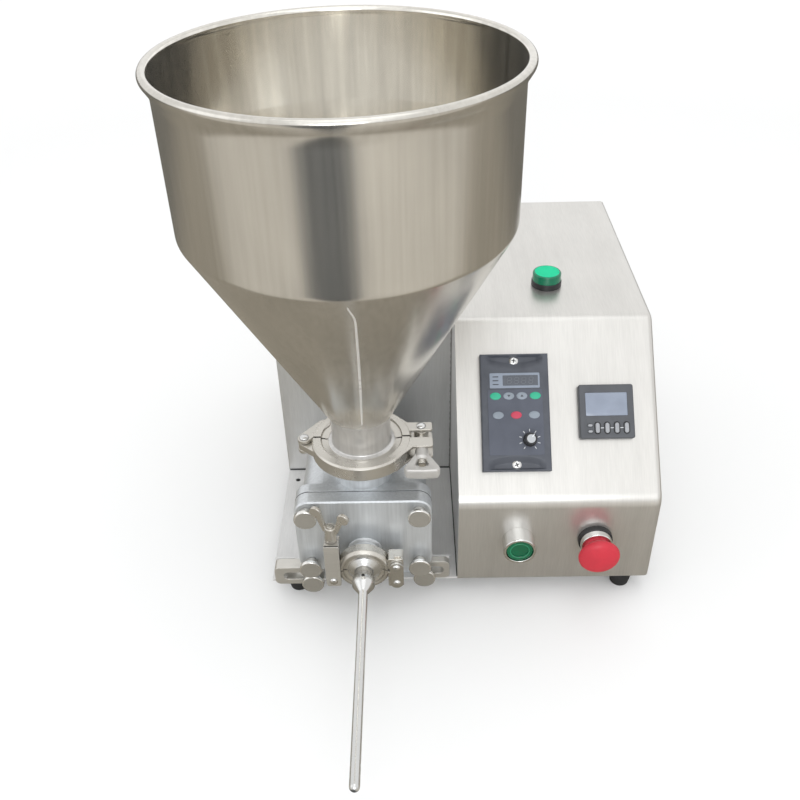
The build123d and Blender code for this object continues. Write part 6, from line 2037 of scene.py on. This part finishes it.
@dataclass
class Controller(PanelDevice):
    """Speed controller: moulded case, display, film overlay with keys, and the speed knob."""

    x: float = 51.1
    v: float = 79.3
    width: float = 60.0
    height: float = 104.0
    rise: float = 9.0
    body_inset: float = 3.0
    body_depth: float = 60.0
    bevel: float = 0.9
    bevel_power: float = 1.5
    end: float = 13.5
    end_bow: float = 4.2
    end_slide: float = 6.0
    sink: float = 3.2
    rim: float = 4.6
    rim_fade: float = 2.5
    brow: float = 1.4
    brow_fade: float = 0.8
    screw_v: float = 46.2
    screw_head: float = 4.15
    screw_flat: float = 2.6
    screw_span: Point = (-4.4, -2.1)
    screw_leans: Point = (0.4, -0.2)
    cross: Point = (2.0, 0.45)
    display_v: float = 28.0
    display_width: float = 44.0
    display_height: float = 13.5
    window: Point = (31.0, 9.2)
    window_x: float = 5.0
    figures: int = 4
    figure: Point = (5.6, 3.4)
    figure_stroke: float = 0.75
    figure_lean: float = 0.12
    figure_x: float = -4.6
    figure_pitch: float = 6.3
    bars: tuple[float, ...] = (-3.4, 0.0, 3.4)
    bar_span: Point = (-19.0, -14.6)
    bar_half: float = 0.45
    overlay: float = 0.4
    overlay_width: float = 48.0
    overlay_span: Point = (-38.0, 20.0)
    key_half: Point = (4.8, 3.3)
    key_rise: float = 0.8
    key_sink: float = 0.05
    upper_row: float = 14.2
    lower_row: float = -2.8
    green_keys: Point = (-17.3, 17.7)
    arrow_keys: Point = (-5.6, 5.9)
    side_keys: Point = (-15.3, 16.3)
    red_key: float = 0.5
    arrow: tuple[Point, ...] = ((-1.3, -0.9), (1.3, -0.9), (0.0, 1.2))
    ticks: int = 9
    tick_start: float = 235.0
    tick_step: float = 36.25
    tick_span: Point = (1.3, 3.1)
    tick_half: float = 0.28
    knob_x: float = 11.6
    knob_v: float = -24.8
    knob_radius: float = 6.2
    knob_height: float = 10.0
    knob_skirt: float = 2.0
    knob_play: float = 0.3
    knob_cap: float = 3.7
    knob_shaft: float = 3.0
    knob_shaft_root: float = 6.0
    knob_mark: Point = (2.0, 4.4)
    knob_mark_half: float = 0.4
    flutes: int = 18
    flute_depth: float = 0.035
    knob_angle: float = math.radians(-35.0)

    def build(self) -> None:
        """Makes the controller's pieces."""
        self.case()
        self.display()
        self.keys()
        self.knob()
        self.screws()

    def case(self) -> None:
        """Moulded front as a height over (x, v): flat face, bevelled rim and sunk ends for the screws.

        The height drops in the bevel with a power of the distance from the border, and slides down at each
        end from a brink that bows with the square of x to the floor under the screw; it fades at the rim.
        """
        a, b = self.width / 2.0, self.height / 2.0
        steps = np.array([self.bevel, self.bevel / 3.0])
        u, v = (
            np.unique(np.concatenate([np.linspace(-half, half, count), half - steps, steps - half]))
            for half, count in ((a, 81), (b, 161))
        )
        across, along = np.meshgrid(u, v)
        border = np.minimum(a - np.abs(across), b - np.abs(along))
        level = self.rise - self.bevel * (1.0 - np.clip(border / self.bevel, 0.0, 1.0)) ** self.bevel_power
        inside = 1.0 - (across / (a - self.rim)) ** 2
        brink = b - self.end + self.end_bow * np.clip(1.0 - inside, 0.0, 1.0)
        slide = np.clip((np.abs(along) - brink) / self.end_slide, 0.0, 1.0)
        fade = np.clip(inside * self.rim_fade, 0.0, 1.0)
        fade = fade * np.clip((b - self.brow - np.abs(along)) / self.brow_fade, 0.0, 1.0)
        level = level - self.sink * slide * fade
        front = np.stack([across, along, level], -1)
        skin = Skin().grid(front)
        edge = np.concatenate([front[0], front[1:, -1], front[-1, -2::-1], front[-2:0:-1, 0]])
        foot = edge * np.array([1.0, 1.0, 0.0])
        wall = np.stack([foot, edge])
        skin.grid(np.concatenate([wall, wall[:, :1]], 1)).cap(foot[::-1])
        back = rectangle(self.width - 2.0 * self.body_inset, self.height - 2.0 * self.body_inset, 0.8)
        skin.join(slab(back, -self.body_depth, 0.2, 0.5))
        self.stand("controller_skin", skin, "controller", "controller_case")

    def display(self) -> None:
        """Light frame, dark window and its unlit figures."""
        middle = (0.0, self.display_v)
        top = self.rise + self.overlay
        border = rectangle(self.display_width, self.display_height, 0.8, middle)
        frame = slab(border, self.rise - 0.8, top, 0.2)
        self.stand("display_frame", frame, "frame_light", "controller_display")
        outline = rectangle(*self.window, 0.4, (self.window_x, self.display_v))
        window = slab(outline, top - 0.2, top + 0.12, 0.06)
        self.lay("display_window", window, "window_dark", "controller_display")
        figures = Skin()
        slant = np.array([[1.0, 0.0], [self.figure_lean, 1.0]])
        for number in range(self.figures):
            shift = np.array([self.figure_x + self.figure_pitch * number, self.display_v])
            for bar in seven_segments(*self.figure, self.figure_stroke):
                figures.join(printed(bar @ slant + shift, top, 0.16, 0.0))
        self.lay("display_figures", figures, "segment", "controller_display")
        marks = Skin()
        for level in self.bars:
            first, last = ((x, self.display_v + level) for x in self.bar_span)
            marks.join(printed(pill(first, last, self.bar_half, 5), top))
        self.lay("display_marks", marks, "print_dark", "controller_display")

    def keys(self) -> None:
        """Film overlay, seven cushion keys, two arrows and the ticks round the knob."""
        low, high = self.overlay_span
        top = self.rise + self.overlay
        outline = rectangle(self.overlay_width, high - low, 1.2, (0.0, (low + high) / 2.0))
        self.stand("key_film", slab(outline, self.rise - 0.2, top, 0.15), "overlay", "controller_keypad")
        rows = {
            "key_green": [(x, self.upper_row) for x in self.green_keys],
            "key_grey": [(x, self.upper_row) for x in self.arrow_keys]
            + [(x, self.lower_row) for x in self.side_keys],
            "key_red": [(self.red_key, self.lower_row)],
        }
        key = dome(*self.key_half, self.key_rise)
        for finish, spots in rows.items():
            skin = Skin()
            for x, v in spots:
                skin.join(key, at(x, v, top - self.key_sink))
            self.lay(finish, skin, finish, "controller_keypad")
        arrows = Skin()
        arrow = np.array(self.arrow)
        down = (arrow * np.array([1.0, -1.0]))[::-1]
        for x, corners in zip(self.arrow_keys, (down, arrow)):
            arrows.join(printed(corners + np.array([x, self.upper_row]), top + self.key_rise, sunk=0.3))
        self.lay("key_arrows", arrows, "print_dark", "controller_keypad")
        ticks = Skin()
        middle = np.array([self.knob_x, self.knob_v])
        for number in range(self.ticks):
            angle = math.radians(self.tick_start - self.tick_step * number)
            way = np.array([math.cos(angle), math.sin(angle)])
            first, last = (middle + way * (self.knob_radius + reach) for reach in self.tick_span)
            ticks.join(printed(pill(first, last, self.tick_half, 5), top))
        self.lay("knob_ticks", ticks, "print_white", "controller_keypad")

    def knob(self) -> None:
        """Fluted knob with a light cap and a pointer.

        Above the skirt the radius swells with the cosine of the number of flutes times the angle.
        """
        low = self.rise + self.overlay + self.knob_play
        top, root = low + self.knob_height, self.rise - self.knob_shaft_root
        profile = (
            (0.0, root),
            (self.knob_shaft, root, 0.2),
            (self.knob_shaft, low),
            (self.knob_radius, low, 0.3),
            (self.knob_radius - 0.2, low + self.knob_skirt, 0.6),
            (self.knob_radius - 0.9, low + self.knob_skirt + 0.6, 0.4),
            (self.knob_radius - 1.1, top, 0.6),
            (0.0, top),
        )
        skin = turned(profile, 144, steps=4)
        grid = skin.points[0]
        angle = np.arctan2(grid[:, 1], grid[:, 0])
        reach = np.hypot(grid[:, 0], grid[:, 1])
        side = (grid[:, 2] > low + self.knob_skirt + 0.4) & (reach > self.knob_radius * 0.6)
        grid[:, :2] *= np.where(side, 1.0 + self.flute_depth * np.cos(self.flutes * angle), 1.0)[:, None]
        place = self.place @ at(self.knob_x, self.knob_v, 0.0) @ spun(self.knob_angle)
        self.stand("speed_knob_skin", skin, "black", "speed_knob", place)
        cap = slab(ellipse(self.knob_cap, self.knob_cap, 56), top - 0.3, top + 0.18, 0.15)
        self.lay("speed_knob_cap", cap, "knob_face", "speed_knob", place)
        first, last = ((0.0, y) for y in self.knob_mark)
        mark = slab(pill(first, last, self.knob_mark_half, 6), top - 0.2, top + 0.24, 0.05)
        self.lay("speed_knob_mark", mark, "print_white", "speed_knob", place)

    def screws(self) -> None:
        """Pan heads of the two case screws, with dark crosses laid on them that paint the shade in their
        cross recesses.
        """
        a, b = self.cross
        cross = np.array(
            ((-a, -b), (-b, -b), (-b, -a), (b, -a), (b, -b), (a, -b))
            + ((a, b), (b, b), (b, a), (-b, a), (-b, b), (-a, b))
        )
        base, top = (self.rise + level for level in self.screw_span)
        wide = self.screw_head
        crown = ((wide, top - 0.7, 0.6), (self.screw_flat, top, 1.0), (0.0, top))
        head = turned(((0.0, base), (wide, base, 0.2), *crown), 56, steps=4)
        heads, crosses = Skin(), Skin()
        for v, lean in zip((-self.screw_v, self.screw_v), self.screw_leans):
            place = at(0.0, v, 0.0) @ spun(lean)
            heads.join(head, place)
            crosses.join(printed(cross, top, 0.04, 0.4), place)
        self.lay("screw_heads", heads, "fastener", "panel_screws")
        self.lay("screw_crosses", crosses, "recess_dark", "panel_screws")


@dataclass
class Timer(PanelDevice):
    """Square timer: case, liquid crystal screen, four rockers and two small keys."""

    x: float = 131.2
    v: float = 78.9
    rise: float = 7.0
    rocker_v: float = -14.7
    rocker_x: tuple[float, ...] = (-8.7, -0.2, 8.3, 16.8)
    rocker_reach: float = 2.7
    mark_gap: float = 2.6
    mark_half: float = 0.3
    pocket: float = 2.2
    pocket_edge: float = 0.65
    pocket_proud: float = 0.09

    def build(self) -> None:
        """Dresses the timer and adds its printed lines and the dark rims round its pockets, painted shade in
        the gaps round the rockers.
        """
        self.shop.dress("timer", "timer_case", edge=0.25)
        self.shop.dress("screen", "timer_screen", edge=0.1)
        rockers = [f"timer_rocker_{number}" for number in range(1, 5)]
        self.shop.dress("rocker", *rockers, "timer_reset_key", "timer_lock_key", edge=0.2)
        skin = Skin()
        for left, right in zip(self.rocker_x[:-1], self.rocker_x[1:]):
            ends = (left + self.mark_gap, self.rocker_v), (right - self.mark_gap, self.rocker_v)
            skin.join(printed(pill(*ends, self.mark_half, 5), self.rise))
        self.lay("timer_marks", skin, "print_white", "timer_case")
        rims = Skin()
        for x in self.rocker_x:
            rims.join(self.pocket_rim(x))
        self.lay("timer_pocket_rims", rims, "recess_dark", "timer_case")

    def pocket_rim(self, x: float) -> Skin:
        """Dark rim laid round a rocker's pocket, painted shade in the gap round the rocker: a pill-shaped
        band from its inner to its outer outline.

        Args:
            x: Place of the rocker.

        Returns:
            A closed skin.
        """
        low, high = self.rise - 0.1, self.rise + self.pocket_proud
        inner, outer = self.pocket, self.pocket + self.pocket_edge
        ends = ((x, self.rocker_v - self.rocker_reach), (x, self.rocker_v + self.rocker_reach))
        band = ((outer, low), (outer, high), (inner, high), (inner, low), (outer, low))
        rows = np.stack([np.insert(pill(*ends, half), 2, level, axis=1) for half, level in band])
        return Skin().grid(np.concatenate([rows, rows[:, :1]], 1))


# Studio

@dataclass(frozen=True)
class Lamp:
    """Square soft lamp.

    Attributes:
        name: Its name.
        place: Where it hangs, in metres.
        target: What it faces.
        size: Length of its side.
        power: Its power in watts.
    """

    name: str
    place: Spot
    target: Spot
    size: float
    power: float


LAMPS = (
    Lamp("front_top", (0.1, -1.7, 2.3), (0.05, 0.0, 0.2), 2.2, 7.0),
    Lamp("overhead", (0.1, -0.1, 2.7), (0.05, 0.0, 0.2), 1.6, 6.0),
    Lamp("left", (-2.4, -0.6, 1.6), (-0.1, 0.0, 0.2), 1.8, 5.0),
    Lamp("back", (0.3, 2.1, 1.5), (0.05, 0.1, 0.2), 2.6, 3.2),
    Lamp("front_low", (0.0, -2.0, 0.95), (-0.02, 0.05, 0.10), 0.9, 9.5),
)


@dataclass
class Studio:
    """Camera at the photo's angle, pale floor that shows painted reflections in the steel, soft lamps and
    plain surroundings for the steel to show.

    The eye is in the working datum's millimetres; the floor's and the clipping's lengths are metres.
    """

    shop: Workshop
    eye: Spot = (-38.780, -582.908, 638.090)
    right: Spot = (0.99975312, 0.00138816, -0.02217608)
    up: Spot = (0.01702271, 0.59359567, 0.80458338)
    lens: float = 40.716
    sensor: float = 36.0
    clip: Point = (0.01, 60.0)
    floor_size: float = 80.0
    floor_roughness: float = 0.8
    floor_shine: float = 0.1
    far: Point = (1.4, 5.0)
    far_glow: float = 0.3
    pale: Colour = (0.95, 0.95, 0.945)
    # Painted reflection, seen by glossy rays only: a warm grey ground, painted shade near the machine's front
    # and behind it, and a dark wedge in front of the hopper.
    ground: Colour = (0.57, 0.535, 0.475)
    painted_reflection_shade: Colour = (0.25, 0.22, 0.165)
    painted_reflection_dark: Colour = (0.03, 0.034, 0.036)
    near_span: Point = (-0.31, -0.18)
    near_share: float = 0.85
    rear_span: Point = (0.25, 0.7)
    rear_share: float = 0.6
    wedge_tip: Point = (-0.066, -0.157)
    wedge_least: float = 0.02
    wedge_turn: float = -0.16
    wedge_edge: Point = (0.27, 0.42)
    wedge_start: Point = (-0.31, -0.20)
    wedge_share: float = 0.97
    daylight: Colour = (0.94, 0.97, 1.0)
    ambient: float = 0.90

    def build(self) -> None:
        """Sets camera, floor, lamps and world."""
        self.camera()
        self.floor()
        self.lamps()
        self.world()
        bpy.context.scene.view_settings.view_transform = "Standard"

    def camera(self) -> None:
        """Camera at the photo's place."""
        right, up = np.array(self.right), np.array(self.up)
        right /= np.linalg.norm(right)
        up -= right * (up @ right)
        up /= np.linalg.norm(up)
        pose = np.eye(4)
        pose[:3, 0], pose[:3, 1], pose[:3, 2] = right, up, np.cross(right, up)
        pose[:3, 3] = np.array(self.eye) * METRES + self.shop.zero
        data = bpy.data.cameras.new("photo_camera")
        data.lens, data.sensor_width = self.lens, self.sensor
        data.clip_start, data.clip_end = self.clip
        camera = bpy.data.objects.new("photo_camera", data)
        camera.matrix_world = Matrix(pose.tolist())
        bpy.context.scene.collection.objects.link(camera)
        bpy.context.scene.camera = camera

    def floor(self) -> None:
        """Pale floor under the feet."""
        low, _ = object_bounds()
        half = self.floor_size / 2.0
        mesh = bpy.data.meshes.new("floor")
        corners = [(-half, -half, low[2]), (half, -half, low[2]), (half, half, low[2]), (-half, half, low[2])]
        mesh.from_pydata(corners, [], [(0, 1, 2, 3)])
        floor = bpy.data.objects.new("floor", mesh)
        bpy.context.scene.collection.objects.link(floor)
        mesh.materials.append(self.floor_finish())
        floor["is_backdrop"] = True

    def floor_finish(self) -> bpy.types.Material:
        """Near-white to the eye; in the steel a painted reflection: a warm grey ground, darker near the
        machine's front and behind it, with a dark wedge in front of the hopper.

        Returns:
            The material.
        """
        material, nodes, surface, coordinates = Palette.start("floor")
        where = coordinates.outputs["Object"]
        spot = nodes.add("ShaderNodeSeparateXYZ", {0: where})
        x, y = spot.outputs["X"], spot.outputs["Y"]
        aside = nodes.maths("SUBTRACT", x, self.wedge_tip[0])
        away = nodes.maths("MAXIMUM", nodes.maths("SUBTRACT", self.wedge_tip[1], y), self.wedge_least)
        turn = nodes.maths("SUBTRACT", nodes.maths("DIVIDE", aside, away), self.wedge_turn)
        wedge = nodes.span(nodes.maths("ABSOLUTE", turn), self.wedge_edge, (self.wedge_share, 0.0))
        ahead = nodes.span(y, self.wedge_start, (1.0, 0.0))
        behind = nodes.span(y, self.rear_span, (0.0, self.rear_share))
        near = nodes.span(y, self.near_span, (0.0, self.near_share))
        # Painted reflection: a dark wedge in front of the hopper and painted shade behind the machine, over a
        # ground darkened near its front.
        dark = nodes.maths("MAXIMUM", nodes.maths("MULTIPLY", wedge, ahead), behind)
        ground = nodes.mix_colour(dark, nodes.mix_colour(near, self.ground, self.painted_reflection_shade), self.painted_reflection_dark)
        ray = nodes.add("ShaderNodeLightPath")
        colour = nodes.mix_colour(ray.outputs["Is Glossy Ray"], self.pale, ground)
        reach = nodes.add("ShaderNodeVectorMath", {0: where}, operation="LENGTH").outputs["Value"]
        glow = nodes.span(reach, self.far, (0.0, self.far_glow))
        glow = nodes.maths("MULTIPLY", glow, ray.outputs["Is Camera Ray"])
        nodes.feed(
            surface,
            {
                "Base Color": colour,
                "Roughness": self.floor_roughness,
                "Specular IOR Level": self.floor_shine,
                "Emission Color": nodes.tint((1.0, 1.0, 1.0), glow),
                "Emission Strength": 1.0,
            },
        )
        return material

    def lamps(self) -> None:
        """Large soft lamps: high in front, overhead, at the left, behind, and low in front for the recess."""
        for lamp in LAMPS:
            data = bpy.data.lights.new(lamp.name, "AREA")
            data.shape = "SQUARE"
            data.size, data.energy, data.color = lamp.size, lamp.power, self.daylight
            light = bpy.data.objects.new(lamp.name, data)
            aim = Vector(lamp.target) - Vector(lamp.place)
            pose = aim.to_track_quat("-Z", "Y").to_matrix().to_4x4()
            pose.translation = lamp.place
            light.matrix_world = pose
            bpy.context.scene.collection.objects.link(light)

    def world(self) -> None:
        """Even pale surroundings, seen white by the eye, in the steel and through glass."""
        world = bpy.data.worlds.new("surroundings")
        bpy.context.scene.world = world
        world.use_nodes = True
        nodes = Nodes(world.node_tree)
        ray = nodes.add("ShaderNodeLightPath")
        seen = nodes.maths("MAXIMUM", ray.outputs["Is Camera Ray"], ray.outputs["Is Transmission Ray"])
        sheen = nodes.maths("MAXIMUM", seen, ray.outputs["Is Glossy Ray"])
        strength = nodes.span(sheen, (0.0, 1.0), (self.ambient, 1.0))
        back = world.node_tree.nodes["Background"]
        nodes.feed(back, {"Color": (1.0, 1.0, 1.0, 1.0), "Strength": strength})


def main() -> None:
    """Builds the scene."""
    logging.basicConfig(level=logging.INFO, format="%(name)s: %(message)s")
    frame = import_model()
    shop = Workshop(frame, Palette(), Case.control_width)
    for part in (Case, Hopper, HopperClamp, Pump, Outlet, Buttons, Controller, Timer):
        part(shop).build()
    LOG.info("nodes without a finish: %s", shop.undressed())
    Studio(shop).build()


if __name__ == "__main__":
    main()
